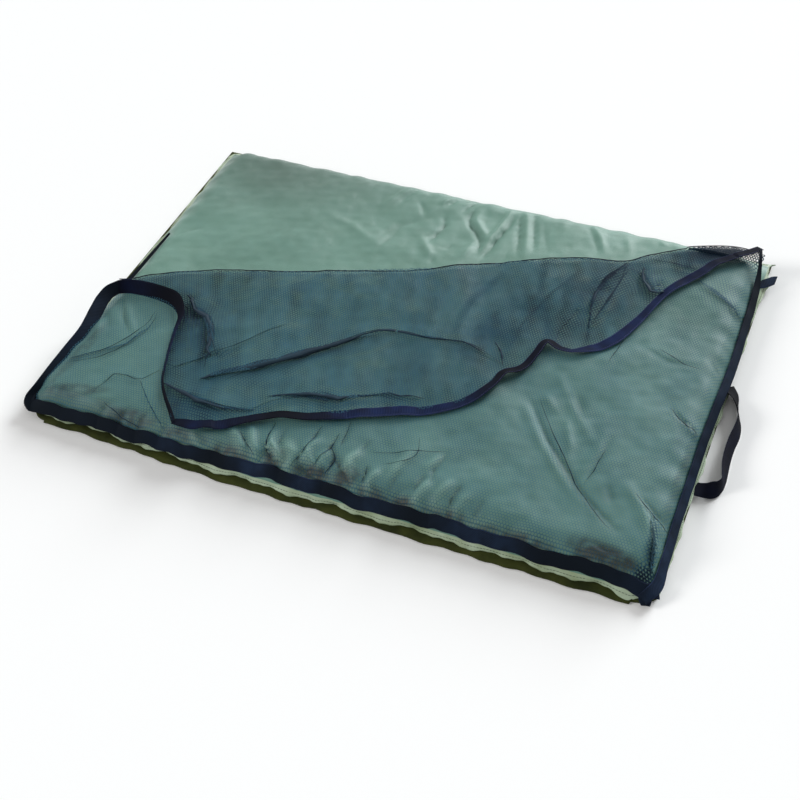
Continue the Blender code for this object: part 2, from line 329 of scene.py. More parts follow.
def nearest(x, y, path):
    """Signed distance to a path, positive on its left, and the share of its length reached."""
    passed = lengths_along(path)
    best = np.full(np.shape(x), np.inf)
    signed, share = np.zeros(np.shape(x)), np.zeros(np.shape(x))
    for start, end, before, after in zip(path[:-1], path[1:], passed, passed[1:]):
        length = np.linalg.norm(end - start)
        way = (end - start) / length
        dx, dy = x - start[0], y - start[1]
        reached = np.clip(dx * way[0] + dy * way[1], 0, length)
        distance = np.hypot(dx - way[0] * reached, dy - way[1] * reached)
        nearer = distance < best
        best = np.where(nearer, distance, best)
        signed = np.where(nearer, np.sign(way[0] * dy - way[1] * dx) * distance, signed)
        share = np.where(nearer, (before + reached) / passed[-1], share)
    return signed, share


def beside(x, y, path, reach):
    """Indices of the points near a path, their signed distances and their shares of its length."""
    low, high = path.min(0) - reach, path.max(0) + reach
    here = np.flatnonzero((x > low[0]) & (x < high[0]) & (y > low[1]) & (y < high[1]))
    return here, *nearest(x[here], y[here], path)


def in_metres(points):
    """The x and y of a table's points in millimetres."""
    return np.array(points, float)[:, :2] / 1000


def dense(x, y, spots, rows=()):
    """The most that spots and lines give at each place, in the unit of their amounts."""
    total = np.zeros(np.shape(x))
    for *spot, turn, amount in spots:
        cx, cy, wide, long = np.array(spot) / 1000
        c, s = math.cos(math.radians(turn)), math.sin(math.radians(turn))
        u, v = (x - cx) * c + (y - cy) * s, (y - cy) * c - (x - cx) * s
        total = np.maximum(total, amount * np.exp(-(np.hypot(u / long, v / wide) ** 4)))
    flat_x, flat_y, flat_total = np.ravel(x), np.ravel(y), total.reshape(-1)
    for amount, wide, points in rows:
        half = wide / 1000
        here, signed, share = beside(flat_x, flat_y, in_metres(points), 3 * half)
        fade = np.sin(math.pi * (0.04 + 0.92 * share)) ** 0.5
        flat_total[here] = np.maximum(flat_total[here], amount * fade * np.exp(-((signed / half) ** 4)))
    return flat_total.reshape(np.shape(x))


def curve_points(points, count):
    """Points evenly spaced on a smooth curve through the given ones."""
    points = np.array(points, float)
    knots = lengths_along(points[:, :3])
    slopes = np.gradient(points, knots, axis=0)
    fine = np.linspace(0, knots[-1], count * 4)
    where = np.clip(np.searchsorted(knots, fine, side="right") - 1, 0, len(knots) - 2)
    gap = (knots[where + 1] - knots[where])[:, None]
    t = ((fine - knots[where])[:, None]) / gap
    smooth = (
        (2 * t**3 - 3 * t**2 + 1) * points[where]
        + (t**3 - 2 * t**2 + t) * gap * slopes[where]
        + (-2 * t**3 + 3 * t**2) * points[where + 1]
        + (t**3 - t**2) * gap * slopes[where + 1]
    )
    passed = lengths_along(smooth[:, :3])
    even = np.linspace(0, passed[-1], count)
    return np.stack([np.interp(even, passed, column) for column in smooth.T], -1)


# Creases of the cover in millimetres: height, width and path. A height below zero is a valley
cover_creases = (
    (1.6, 7, ((-123, 324), (-138, 292), (-150, 259))),
    (-1.2, 5, ((-112, 313), (-125, 282), (-128, 260))),
    (-1.8, 5, ((-95, 290), (-83, 275), (-74, 258))),
    (1.4, 5, ((-41, 321), (-51, 307), (-57, 294))),
    (-1.2, 4, ((-33, 317), (-40, 302), (-47, 287))),
    (-2.2, 4, ((-2, 319), (-9, 303), (-14, 287))),
    (-2.6, 5, ((-40, 270), (-31, 243), (-35, 219), (-39, 194))),
    (1.8, 7, ((-58, 203), (-39, 179), (-19, 153))),
    (-2.8, 5, ((3, 302), (1, 280), (9, 260), (27, 243), (41, 224), (47, 193))),
    (1.8, 6, ((14, 302), (15, 273), (35, 249), (53, 227))),
    (2.4, 6, ((65, 320), (64, 290), (62, 266), (57, 234), (53, 200))),
    (-2.4, 5, ((73, 308), (72, 275), (65, 231), (61, 181))),
    (-1.8, 4, ((80, 319), (100, 251), (113, 204))),
    (1.8, 7, ((91, 322), (107, 273), (124, 215))),
    (-1.6, 4, ((105, 321), (120, 272), (136, 223))),
    (-0.8, 6, ((125, 305), (141, 268), (157, 230))),
    (1.6, 6, ((210, 320), (229, 292), (246, 261))),
    (-1, 5, ((205, 312), (225, 280), (238, 255))),
    (0.9, 6, ((275, 304), (287, 269))),
    (0.8, 5, ((325, 322), (336, 309))),
    (1.6, 7, ((36, 217), (32, 192), (29, 170))),
    (-1.2, 6, ((-16, 186), (-3, 185), (0, 200))),
    (-0.9, 12, ((-124, 180), (-103, 219), (-74, 243))),
    (-1.4, 5, ((-19, 161), (-13, 138))),
    (-0.8, 6, ((-456, 73), (-442, 92), (-424, 105))),
    (-0.6, 6, ((-429, 42), (-408, 52), (-384, 60))),
    (-1, 8, ((-113, 146), (-107, 177), (-102, 208))),
    (0.9, 9, ((-228, 202), (-181, 192), (-112, 154))),
    (2.6, 6, ((-125, -290), (-110, -318), (-98, -335))),
    (2.8, 6, ((-93, -281), (-88, -308), (-71, -322), (-52, -334))),
    (1.8, 9, ((-67, -297), (-48, -316), (-43, -335))),
    (2.8, 6, ((-22, -281), (-28, -301), (-25, -314), (-9, -325))),
    (2.4, 5, ((2, -293), (-3, -310), (-1, -324))),
    (3, 7, ((45, -279), (37, -300), (38, -317), (54, -332))),
    (2.4, 6, ((84, -303), (79, -325), (81, -338))),
    (1.8, 8, ((119, -254), (108, -284), (103, -312))),
    (2.2, 7, ((160, -295), (150, -336))),
    (2, 6, ((156, -247), (145, -281))),
    (1.8, 6, ((-155, -297), (-133, -319), (-117, -335))),
    (-2, 3, ((-137, -305), (-118, -320), (-100, -335))),
    (-3, 3.5, ((-95, -271), (-92, -302), (-87, -319), (-72, -332), (-55, -343))),
    (-2.2, 3, ((-25, -257), (-30, -300), (-36, -321), (-40, -339))),
    (-3, 6, ((-35, -324), (-11, -333), (12, -339))),
    (-2.4, 3, ((5, -261), (2, -289), (-5, -309), (-9, -325))),
    (-2.6, 3.5, ((4, -288), (16, -304), (13, -325), (11, -335))),
    (-3.4, 5, ((17, -305), (41, -323), (57, -338))),
    (-2.4, 3.5, ((67, -303), (69, -328))),
    (-1.6, 3, ((11, -233), (13, -258), (16, -281))),
    (-2.6, 5, ((124, -334), (143, -343))),
    (-1.6, 4, ((116, -292), (110, -316), (110, -330))),
    (-1.4, 4, ((52, -254), (46, -281))),
    (-2, 4, ((149, -291), (145, -321))),
    (-1.6, 3, ((164, -238), (158, -276), (164, -305))),
    (-1.4, 4, ((-74, -279), (-74, -300), (-65, -316))),
    (1.8, 7, ((190, -285), (180, -315), (182, -337))),
    (-2, 4, ((205, -290), (200, -318), (203, -336))),
    (1.2, 7, ((220, -297), (214, -326), (215, -340))),
    (-1.4, 6, ((241, -305), (240, -335))),
    (-2.4, 9, ((-177, -338), (-155, -351))),
    (1.6, 7, ((-210, -325), (-190, -343))),
    (-2.4, 5, ((240, -99), (288, -165), (323, -202), (366, -246), (408, -276), (426, -289))),
    (1.6, 8, ((236, -114), (280, -172), (317, -213), (358, -254))),
    (-1.2, 5, ((376, -133), (370, -173), (362, -218))),
    (1.2, 7, ((367, -128), (362, -169), (353, -214))),
    (-2, 11, ((395, -221), (408, -247))),
    (1.6, 6, ((304, -122), (325, -171), (326, -188))),
    (1.5, 7, ((259, -84), (281, -107))),
    (-1.4, 11, ((304, -68), (325, -114))),
    (-1.6, 4, ((434, -218), (466, -243), (490, -254))),
    (-1.6, 4, ((437, -44), (457, -64), (493, -72))),
    (2, 8, ((424, -213), (460, -257), (483, -303))),
    (-1, 5, ((360, 64), (413, 42), (451, 49))),
    (-1.2, 5, ((469, 67), (492, 52))),
    (1, 7, ((262, -34), (318, -110), (355, -155))),
    (-2.2, 9, ((400, -319), (446, -327))),
    (-1.8, 4, ((-458, -107), (-434, -145), (-406, -177))),
    (1.4, 5, ((-448, -109), (-422, -146), (-402, -169))),
    (1.6, 6, ((-469, -157), (-460, -179), (-448, -204))),
    (-1, 8, ((-464, -145), (-439, -182))),
    (-1.4, 9, ((-378, -320), (-345, -330))),
    (1.2, 8, ((-424, -314), (-400, -314))),
)
crease_scale = 2.1


def creased(x, y):
    """Height of the creases. Ridges are round on top and valleys are sharp at the bottom."""
    flat_x, flat_y, total = np.ravel(x), np.ravel(y), np.zeros(np.size(x))
    for height, width, points in cover_creases:
        here, signed, share = beside(flat_x, flat_y, in_metres(points), width / 1000 * 3.5)
        away = np.abs(signed) / (width / 1000)
        fade = np.sin(math.pi * (0.03 + 0.94 * share)) ** 0.6
        total[here] += height / 1000 * fade * (np.exp(-(away**2)) if height > 0 else np.exp(-1.6 * away))
    return total.reshape(np.shape(x))


def pucker(x, y):
    """Gathers of the cloth along its seams, which run across the sloping sides."""
    out = beyond(x, y)
    short_side = np.abs(x) - half_length > np.abs(y) - half_width
    run = np.where(short_side, y, x)
    other = np.where(short_side, np.sign(x) * 3, np.sign(y))
    waves = np.sin(run * 165 + other * 2 + 1.4 * np.sin(run * 31 + other)) * 0.6
    waves = waves + np.sin(run * 97 + 2.1 * np.sin(run * 17 + other * 3))
    near = np.where(short_side, 0, (y < 0) * step(0.5 - x, 0.10, 0.40) * step(x + 0.47, 0.0, 0.12))
    folds = np.abs(np.sin(run * 58 + 1.7 * np.sin(run * 23 + 1) + 30 * out)) ** 0.6 - 0.65
    waves = waves * (1 - 0.5 * near) + 4.6 * near * folds
    return waves * step(out, -0.020, 0.010) * (1 - 0.75 * step(out, 0.016, 0.034))


# Slack of the cover over the foam: a sheet held at its edges, a little too large for them
slack_cell, slack_overhang, slack_growth, slack_frames = 0.009, 0.012, 0.012, 24
slack_share, slack_most = 0.34, 0.0024
slack_mass, slack_stiffness, slack_shear, slack_bending = 0.15, 25, 8, 6


def slack_lines(half):
    half = half + slack_overhang
    return np.linspace(-half, half, round(2 * half / slack_cell) + 1)


slack_xs, slack_ys = slack_lines(half_length), slack_lines(half_width)


def settled_sheet():
    """Heights of the slack sheet from a cloth simulation, on its grid."""
    x, y = np.meshgrid(slack_xs, slack_ys, indexing="ij")
    z = 0.0006 * np.random.default_rng(5).standard_normal(x.shape)
    index = np.arange(x.size).reshape(x.shape)
    faces = np.stack([index[:-1, :-1], index[1:, :-1], index[1:, 1:], index[:-1, 1:]], -1).reshape(-1, 4)
    data = bpy.data.meshes.new("slack_sheet")
    data.from_pydata(np.stack([x, y, z], -1).reshape(-1, 3).tolist(), [], faces.tolist())
    made = bpy.data.objects.new("slack_sheet", data)
    scene = bpy.context.scene
    scene.collection.objects.link(made)
    rim = np.ones(x.shape, bool)
    rim[1:-1, 1:-1] = False
    made.vertex_groups.new(name="held").add(index[rim].tolist(), 1.0, "REPLACE")
    soft = made.modifiers.new("cloth", "CLOTH")
    cloth = soft.settings
    cloth.quality, cloth.mass, cloth.air_damping = 5, slack_mass, 2
    cloth.tension_stiffness = cloth.compression_stiffness = slack_stiffness
    cloth.shear_stiffness, cloth.bending_stiffness = slack_shear, slack_bending
    cloth.shrink_min = cloth.shrink_max = -slack_growth
    cloth.vertex_group_mass = "held"
    cloth.effector_weights.gravity = 0
    soft.collision_settings.use_collision = False
    soft.point_cache.frame_start, soft.point_cache.frame_end = 1, slack_frames
    for moment in range(1, slack_frames + 1):
        scene.frame_set(moment)
    got = made.evaluated_get(bpy.context.evaluated_depsgraph_get()).to_mesh()
    co = np.empty(len(got.vertices) * 3, np.float32)
    got.vertices.foreach_get("co", co)
    heights = co.reshape(*x.shape, 3)[..., 2].astype(float)
    bpy.data.objects.remove(made)
    bpy.data.meshes.remove(data)
    scene.frame_set(1)
    kernel = (0.06, 0.24, 0.40, 0.24, 0.06)
    for axis in (0, 1):
        heights = np.apply_along_axis(
            lambda row: np.convolve(np.pad(row, 2, "edge"), kernel, "valid"), axis, heights
        )
    return np.clip(heights * slack_share, -slack_most, slack_most)


slack = settled_sheet()


def slack_height(x, y):
    """Height of the settled sheet at any place, between the points of its grid."""
    u = np.clip((x - slack_xs[0]) / (slack_xs[1] - slack_xs[0]), 0, len(slack_xs) - 1.001)
    v = np.clip((y - slack_ys[0]) / (slack_ys[1] - slack_ys[0]), 0, len(slack_ys) - 1.001)
    i, j = u.astype(int), v.astype(int)
    u, v = step(u - i, 0, 1), step(v - j, 0, 1)
    low = slack[i, j] * (1 - u) + slack[i + 1, j] * u
    return low * (1 - v) + (slack[i, j + 1] * (1 - u) + slack[i + 1, j + 1] * u) * v


def smoothed_profile():
    """Places across the sloping side and the height shares there, with the corners of the profile eased."""
    places = np.array(side_place_shares) * (edge_roll + flange_reach) - edge_roll
    fine = np.linspace(places[0] - 0.03, places[-1] + 0.03, 600)
    kernel = np.hanning(33)
    heights = np.interp(fine, places, side_height_shares)
    return fine, np.convolve(np.pad(heights, 16, "edge"), kernel / kernel.sum(), "valid")


profile_places, profile_heights = smoothed_profile()


valley_depth, valley_reach = 0.0022, 0.016
pucker_height = 0.0010


def cover_parts(x, y):
    """Height of the cover's outer surface without its creases, and the height of the creases."""
    out = beyond(x, y)
    high = flange_height + (mat_height - flange_height) * np.interp(out, profile_places, profile_heights)
    crown = np.maximum(1 - (x / half_length) ** 2, 0) * np.maximum(1 - (y / half_width) ** 2, 0)
    soft = drifts(x, y, (0.0005, 0.16, 3), (0.0004, 0.055, 5), (0.00022, 0.021, 6))
    soft = (soft + slack_height(np.asarray(x, float), np.asarray(y, float))) * (1 - step(out, -0.012, 0.012))
    valley = -valley_depth * hump(x, 0, valley_reach) * (0.35 + 0.65 * step(out, -0.03, 0.01))
    plain = high + crown_height * crown + soft + valley + pucker_height * pucker(x, y)
    return plain, crease_scale * creased(x, y) * (1 - step(out, 0.010, 0.024))


def cover_height(x, y):
    return np.add(*cover_parts(x, y))


def on_cover(x, y, lift):
    return np.stack([x, y, cover_height(x, y) + lift], -1)


# Painted shade in the hollows of the slopes: x, y and reach across and along in millimetres, then turn and
# amount
cover_stains = (
    (-70, -329, 14, 18, 10, 0.9),
    (-10, -335, 13, 30, 5, 0.95),
    (42, -328, 14, 24, 40, 0.9),
    (88, -338, 10, 26, 0, 0.75),
    (134, -339, 10, 18, 0, 0.95),
    (200, -340, 10, 40, 2, 0.75),
    (300, -341, 10, 60, 0, 0.75),
    (425, -331, 17, 48, -6, 1.1),
    (-140, -339, 12, 34, 0, 0.85),
    (-220, -334, 10, 40, 0, 0.6),
    (-320, -330, 11, 50, 4, 0.65),
    (-420, -312, 12, 50, 16, 0.55),
    (-458, -240, 10, 70, 84, 0.4),
    (-250, -300, 12, 40, -35, 0.3),
    (483, -160, 7, 80, 90, 0.35),
)
full_crease = 0.0024


def cover_marks(x, y):
    """Shares of painted shade in the hollows, the crease valleys and the far left corner, and of painted
    highlight on the ridges.
    """
    folds = creased(x, y) / full_crease
    near = step(-y, 0.22, 0.30)
    # Painted shade in the hollows of the slopes, with a drifting amount
    shaded = dense(x, y, cover_stains) * (1 + drifts(x, y, (0.30, 0.022, 41), (0.2, 0.009, 42)))
    # Painted shade over the far left corner of the top
    corner = 0.52 * bell(x, y, -0.38, 0.33, 0.22, 0.13)
    # Painted shade in the crease valleys, strongest on the near slope
    dark = np.maximum(shaded, (0.30 + 0.50 * near) * np.clip(-folds, 0, 1))
    # The second share is a painted highlight on the crease ridges, strongest on the near slope
    return np.clip(np.maximum(dark, corner), 0, 0.95), (0.18 + 0.55 * near) * np.clip(folds, 0, 1)


def rounded_corner(x, y, side_x, side_y, radius):
    """Draws what lies beyond a corner of the top face in to a circle round the corner."""
    dx = np.maximum(x * side_x - half_length, 0)
    dy = np.maximum(y * side_y - half_width, 0)
    pull = np.where((dx > 0) & (dy > 0), np.minimum(1, radius / np.maximum(np.hypot(dx, dy), 1e-6)), 1)
    drawn = pull < 1
    x = np.where(drawn, side_x * (half_length + dx * pull), x)
    return x, np.where(drawn, side_y * (half_width + dy * pull), y)


# The near left corner: where its round begins and the least distance that stays as it is
soft_corner_x, soft_corner_y, soft_corner_least = -0.462, -0.322, 0.030
near_edge_pull, right_corner_radius = 0.011, 0.0405


def drawn_in(x, y):
    """Draws the near corners in, round, and the near edge beside the left one."""
    y = y + near_edge_pull * step(-y, half_width - 0.01, half_width + 0.035) * step(-x, 0.10, 0.43)
    dx, dy = np.minimum(x - soft_corner_x, 0), np.minimum(y - soft_corner_y, 0)
    away = np.hypot(dx, dy)
    least = soft_corner_least
    drawn = (least + (np.maximum(-dx, -dy) - least) * 0.25) / np.maximum(away, 1e-6)
    ratio = np.where(away > least, np.clip(drawn, 0.5, 1), 1)
    both = (dx < 0) & (dy < 0) & (away > 1e-6)
    x, y = np.where(both, soft_corner_x + dx * ratio, x), np.where(both, soft_corner_y + dy * ratio, y)
    return rounded_corner(x, y, 1, -1, right_corner_radius)


# Meshes
def link(name, data, finish):
    made = bpy.data.objects.new(name, data)
    bpy.context.scene.collection.objects.link(made)
    data.materials.append(finish)
    return made


def mesh_of(name, points, faces, finish, sharp=None):
    """An object from an array of points and a list of arrays of faces, each with its own corner count."""
    data = bpy.data.meshes.new(name)
    points = np.asarray(points, np.float32)
    faces = [np.asarray(group, np.int32) for group in faces if len(group)]
    counts = np.concatenate([np.full(len(group), group.shape[1], np.int32) for group in faces])
    data.vertices.add(len(points))
    data.vertices.foreach_set("co", points.ravel())
    data.loops.add(int(counts.sum()))
    data.loops.foreach_set("vertex_index", np.concatenate([group.ravel() for group in faces]))
    data.polygons.add(len(counts))
    data.polygons.foreach_set("loop_start", np.concatenate([[0], np.cumsum(counts)[:-1]]).astype(np.int32))
    data.update(calc_edges=True)
    data.validate()
    data.shade_smooth()
    if sharp:
        data.set_sharp_from_angle(angle=math.radians(sharp))
    return link(name, data, finish)


def places_of(made):
    co = np.empty(len(made.data.vertices) * 3, np.float32)
    made.data.vertices.foreach_get("co", co)
    return co.reshape(-1, 3)


def reshape(made, change):
    """Moves an object's vertices with a function of their x and y."""
    co = places_of(made)
    co[:, 0], co[:, 1] = change(*co[:, :2].T.astype(float))
    made.data.vertices.foreach_set("co", co.ravel())
    made.data.update()


def store(made, **layers):
    """Stores numbers for each vertex, which the materials read."""
    for name, values in layers.items():
        layer = made.data.attributes.new(name, "FLOAT", "POINT")
        layer.data.foreach_set("value", np.asarray(values, np.float32))


def fix_normals(made):
    work = bmesh.new()
    work.from_mesh(made.data)
    bmesh.ops.recalc_face_normals(work, faces=work.faces[:])
    work.to_mesh(made.data)
    work.free()


def slab(name, xs, ys, top, bottom, finish, keep=None):
    """A closed sheet over the lines xs and ys, between two height functions."""
    x, y = np.meshgrid(xs, ys, indexing="ij")
    points = np.concatenate([np.stack([x, y, side(x, y)], -1).reshape(-1, 3) for side in (top, bottom)])
    index = np.arange(x.size).reshape(x.shape)
    kept = np.ones((len(xs) - 1, len(ys) - 1), bool)
    if keep:
        kept = keep((x[:-1, :-1] + x[1:, 1:]) / 2, (y[:-1, :-1] + y[1:, 1:]) / 2)
    corners = np.stack([index[:-1, :-1], index[1:, :-1], index[1:, 1:], index[:-1, 1:]], -1)
    around = np.pad(kept, 1)
    faces = [corners[kept], corners[kept][:, ::-1] + x.size]
    neighbours = (around[1:-1, :-2], around[2:, 1:-1], around[1:-1, 2:], around[:-2, 1:-1])
    for first, neighbour in enumerate(neighbours):
        rim = corners[kept & ~neighbour][:, [(first + 1) % 4, first]]
        faces.append(np.concatenate([rim, rim[:, ::-1] + x.size], -1))
    used, faces = np.unique(np.concatenate(faces), return_inverse=True)
    return mesh_of(name, points[used], [faces.reshape(-1, 4)], finish, sharp=50)


def lines(half_size, reach, inner_step=0.0042, edge_step=0.0024):
    """Grid lines over the whole width, close together on the sloping sides."""
    inner = half_size - edge_roll
    edge = np.linspace(inner, half_size + reach, round((edge_roll + reach) / edge_step) + 1)
    middle = np.linspace(-inner, inner, round(2 * inner / inner_step) + 1)
    return np.concatenate([-edge[::-1], middle[1:-1], edge])


# Half the section of a tape: shares of half its width and of half its thickness
tape_section = (
    (-1, 0.15), (-0.94, 0.75), (-0.82, 1), (-0.4, 1), (0, 1), (0.4, 1), (0.82, 1), (0.94, 0.75), (1, 0.15),
)


def strip(name, path, across, finish, half_thickness, face=1.0):
    """A closed ribbon. path has its middle points and across the vectors to its edge, half its width long.
    face is the share of painted light along it, 0 to 1; where it is low the tape is painted in shade."""
    count = len(path)
    normal = unit(np.cross(across, np.gradient(path, axis=0)))
    ring = tape_section + tuple((s, -t) for s, t in reversed(tape_section))
    size = len(ring)
    points = np.stack([path + across * s + normal * (half_thickness * t) for s, t in ring], 1)
    index = np.arange(count * size).reshape(count, size)
    after = np.roll(index, -1, axis=1)
    sides = np.stack([index[:-1], index[1:], after[1:], after[:-1]], -1).reshape(-1, 4)
    place = np.arange(size // 2 - 1)
    cap = np.stack([place, place + 1, size - 2 - place, size - 1 - place], -1)
    caps = np.concatenate([cap, cap[:, ::-1] + size * (count - 1)])
    made = mesh_of(name, points.reshape(-1, 3), [sides, caps], finish)
    store(
        made,
        along=np.repeat(lengths_along(path), size),
        across=np.tile([s for s, _ in ring], count),
        face=np.repeat(np.broadcast_to(face, count), size),
    )
    fix_normals(made)
    return made


# Levels of a stitch: share of its length, share of its radius and rise in radii
stitch_levels = ((-0.5, 0.25, -0.4), (-0.42, 0.9, 0.2), (0, 1, 0.7), (0.42, 0.9, 0.2), (0.5, 0.25, -0.4))
stitch_sides = 5


def stitches(name, rows, finish, length, pitch, radius):
    """Rows of short threads. Each row is a path with its normals."""
    run, wide, rise = (column[:, None, None] for column in np.array(stitch_levels).T)
    k = np.arange(stitch_sides)
    c, s = np.cos(k * math.tau / stitch_sides)[:, None], np.sin(k * math.tau / stitch_sides)[:, None]
    points = []
    for path, normals in rows:
        passed = lengths_along(path)
        middle = np.arange(pitch, passed[-1] - pitch / 2, pitch)
        centre, after, up = (
            np.stack([np.interp(places, passed, column) for column in table.T], -1)
            for places, table in ((middle, path), (middle + 0.001, path), (middle, normals))
        )
        ahead = unit(after - centre)
        up = unit(up - ahead * (up * ahead).sum(1)[:, None])
        side = np.cross(ahead, up)
        centre, ahead, up, side = (vectors[:, None, None] for vectors in (centre, ahead, up, side))
        threads = centre + ahead * run * length + up * radius * (rise + s * wide) + side * radius * c * wide
        points.append(threads.reshape(-1, 3))
    points = np.concatenate(points)
    thread_size = stitch_sides * len(stitch_levels)
    first = np.arange(0, len(points), thread_size)[:, None]
    beside_k = (k + 1) % stitch_sides
    ring = np.stack([k, beside_k, beside_k + stitch_sides, k + stitch_sides], -1)
    quads = [(first + level * stitch_sides)[..., None] + ring for level in range(len(stitch_levels) - 1)]
    caps = np.concatenate([first + k[::-1], first + thread_size - stitch_sides + k])
    made = mesh_of(name, points, [np.concatenate(quads).reshape(-1, 4), caps], finish)
    fix_normals(made)
    return made


def across_fold(made, *nodes):
    """Bakes a piece's place into its mesh, and hides any named parts of the model that it stands for."""
    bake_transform(made)
    if nodes:
        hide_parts(*nodes)


# The cover
skin_thickness = 0.0014
cover_edge = tape_outer - 0.0003


def cover_inside(x, y):
    return cover_height(x, y) - skin_thickness


cover_xs, cover_ys = lines(half_length, cover_edge), lines(half_width, cover_edge)
cover = slab("cover_top", cover_xs, cover_ys, cover_height, cover_inside, green)
reshape(cover, drawn_in)
# Painted shade and painted highlight of the cover, stored on its points for the cloth material
shaded, highlit = cover_marks(*places_of(cover)[:, :2].T.astype(float))
store(cover, stain=shaded, crest=highlit)
across_fold(cover, "top_skin_right", "top_skin_left", "fold_panel_top")


# Pale seam strip round the mat. Its ears have a place along the edge, half a width and a length
near_ear_x, near_ear_half, near_ear_length = 0.464, 0.013, 0.009
far_ear_y, far_ear_half, far_ear_length = 0.312, 0.016, 0.007
strip_tuck_right, strip_tuck_near = 0.0055, 0.0050
strip_corner_near, strip_corner_far = 0.040, 0.047


def strip_wave(run, side):
    waves = 0.0024 * np.sin(run * 47 + side) + 0.0020 * np.sin(run * 113 + 2 * side + np.sin(run * 19))
    return waves + 0.0008 * np.sin(run * 310)


def beyond_square(x, y):
    return np.maximum(np.abs(x) - half_length, np.abs(y) - half_width)


def with_ears(x, y):
    """The strip's outer edge, drawn in and wavy, with two ears at the right and two round corners."""
    share = np.clip((beyond_square(x, y) - tape_outer) / (flange_reach - tape_outer), 0, 1)
    long_side = np.abs(y) - half_width >= np.abs(x) - half_length
    side_x, side_y = np.sign(x), np.sign(y)
    tucked, narrowed = strip_tuck_right * (x > 0), strip_tuck_near * (y < 0)
    nx = x + np.where(long_side, 0, share * (side_x * strip_wave(y, side_x) * 0.6 - tucked))
    ny = y + np.where(long_side, side_y * share * (strip_wave(x, 3 * side_y) - narrowed), 0)
    ear = step(-y, half_width + tape_outer, half_width + flange_reach)
    ny = ny - near_ear_length * hump(x, near_ear_x, near_ear_half) * ear
    nx, ny = rounded_corner(nx, ny, 1, -1, strip_corner_near)
    ear = step(x, half_length + tape_outer, half_length + flange_reach)
    nx = nx + far_ear_length * hump(y, far_ear_y, far_ear_half) * ear
    return rounded_corner(nx, ny, -1, 1, strip_corner_far)


seam_strip = slab(
    "seam_strip",
    lines(half_length, flange_reach, 0.005),
    lines(half_width, flange_reach, 0.005),
    lambda x, y: cover_height(x, y) + 0.0004 * np.sin(x * 170) * np.sin(y * 150),
    cover_inside,
    pale,
    keep=lambda x, y: beyond_square(x, y) > cover_edge,
)
reshape(seam_strip, with_ears)
reshape(seam_strip, drawn_in)
across_fold(seam_strip, "seam_strip_right", "seam_strip_left")


# The lower skin, whose rim bulges out under the seam
base_thickness, base_rise, base_drop, base_lift = 0.0015, 0.0034, 0.0026, 0.0013


def base_top(x, y):
    out = beyond(x, y)
    rise = step(out, 0.014, 0.032) * base_rise
    drop = step(out, rim_reach - 0.006, rim_reach) * base_drop
    wave = 0.0005 * (np.sin(x * 120 + y * 90) + np.sin(x * 57 - y * 71)) * step(out, 0.02, 0.03)
    return base_thickness + rise - drop + wave * (1 - step(out, rim_reach - 0.004, rim_reach))


def base_bottom(x, y):
    return base_lift * step(beyond(x, y), rim_reach - 0.006, rim_reach)


def rim_waved(x, y):
    waves = 0.0011 * np.sin(x * 61 + 0.6) + 0.0010 * np.sin(x * 139 + 1.5 * np.sin(x * 23))
    return x, y + step(beyond(x, y), 0.030, rim_reach) * (y < 0) * waves


# The five lines at the right are left out, since the strip and the handle are there
base_lines = lines(half_length, rim_reach, 0.009)[:-5]
base = slab("base_cover", base_lines, lines(half_width, rim_reach, 0.009), base_top, base_bottom, olive)
reshape(base, rim_waved)
reshape(base, drawn_in)
across_fold(base, "bottom_skin_right", "bottom_skin_left", "fold_panel_bottom")


# Foam inside. It ends short of the fold, where its underside rises
foam_inset, foam_edge, fold_side = 0.003, 0.02, 0.055
foam_gap, foam_least, foam_bottom = 0.0070, 0.0030, 0.0022
fold_rise, fold_rise_reach = 0.006, 0.03


def foam_rim(half_size):
    return np.linspace(half_size - foam_edge, half_size - foam_inset, 9)


def add_foam(side, word):
    rim_x, rim_y = foam_rim(half_length), foam_rim(half_width)
    xs = np.concatenate([np.linspace(fold_side, rim_x[0], 40)[:-1], rim_x])
    ys = np.concatenate([-rim_y[::-1], np.linspace(-rim_y[0], rim_y[0], 50)[1:-1], rim_y])
    made = slab(
        f"foam_{word}",
        np.sort(side * xs),
        ys,
        lambda x, y: np.maximum(cover_parts(x, y)[0] - skin_thickness - foam_gap, foam_least),
        lambda x, y: foam_bottom + fold_rise * (1 - step(np.abs(x), fold_side, fold_side + fold_rise_reach)),
        foam,
    )
    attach(made, f"{word}_half")
    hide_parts(f"foam_core_{word}")


add_foam(1, "right")
add_foam(-1, "left")


# The net. Its tables are in millimetres, and this is the line where its loose corner is turned back
fold_line = (
    (-500, -75), (-467, -66), (-440, -47), (-384, -12), (-210, 49), (7, 129), (63, 162), (168, 208),
    (240, 236), (290, 250), (321, 276), (394, 322), (450, 340), (490, 336),
)
net_edge, net_reach, net_margin, cut_overlap = 0.0205, 0.36, 0.01, 0.0012
panel_strand, flap_strand = 0.00073, 0.00091
cell_pitch = 0.0044
# Extra strand width at which the painted shade of bunched strands is full
shade_full_width = 0.0016
fold_line_extra, fold_line_reach = 0.0007, 0.0035
far_sinking, panel_far_lift, flap_far_lift = 0.10, 0.004, 0.0075
flap_lift, flap_turn_depth = 0.0058, 0.0030

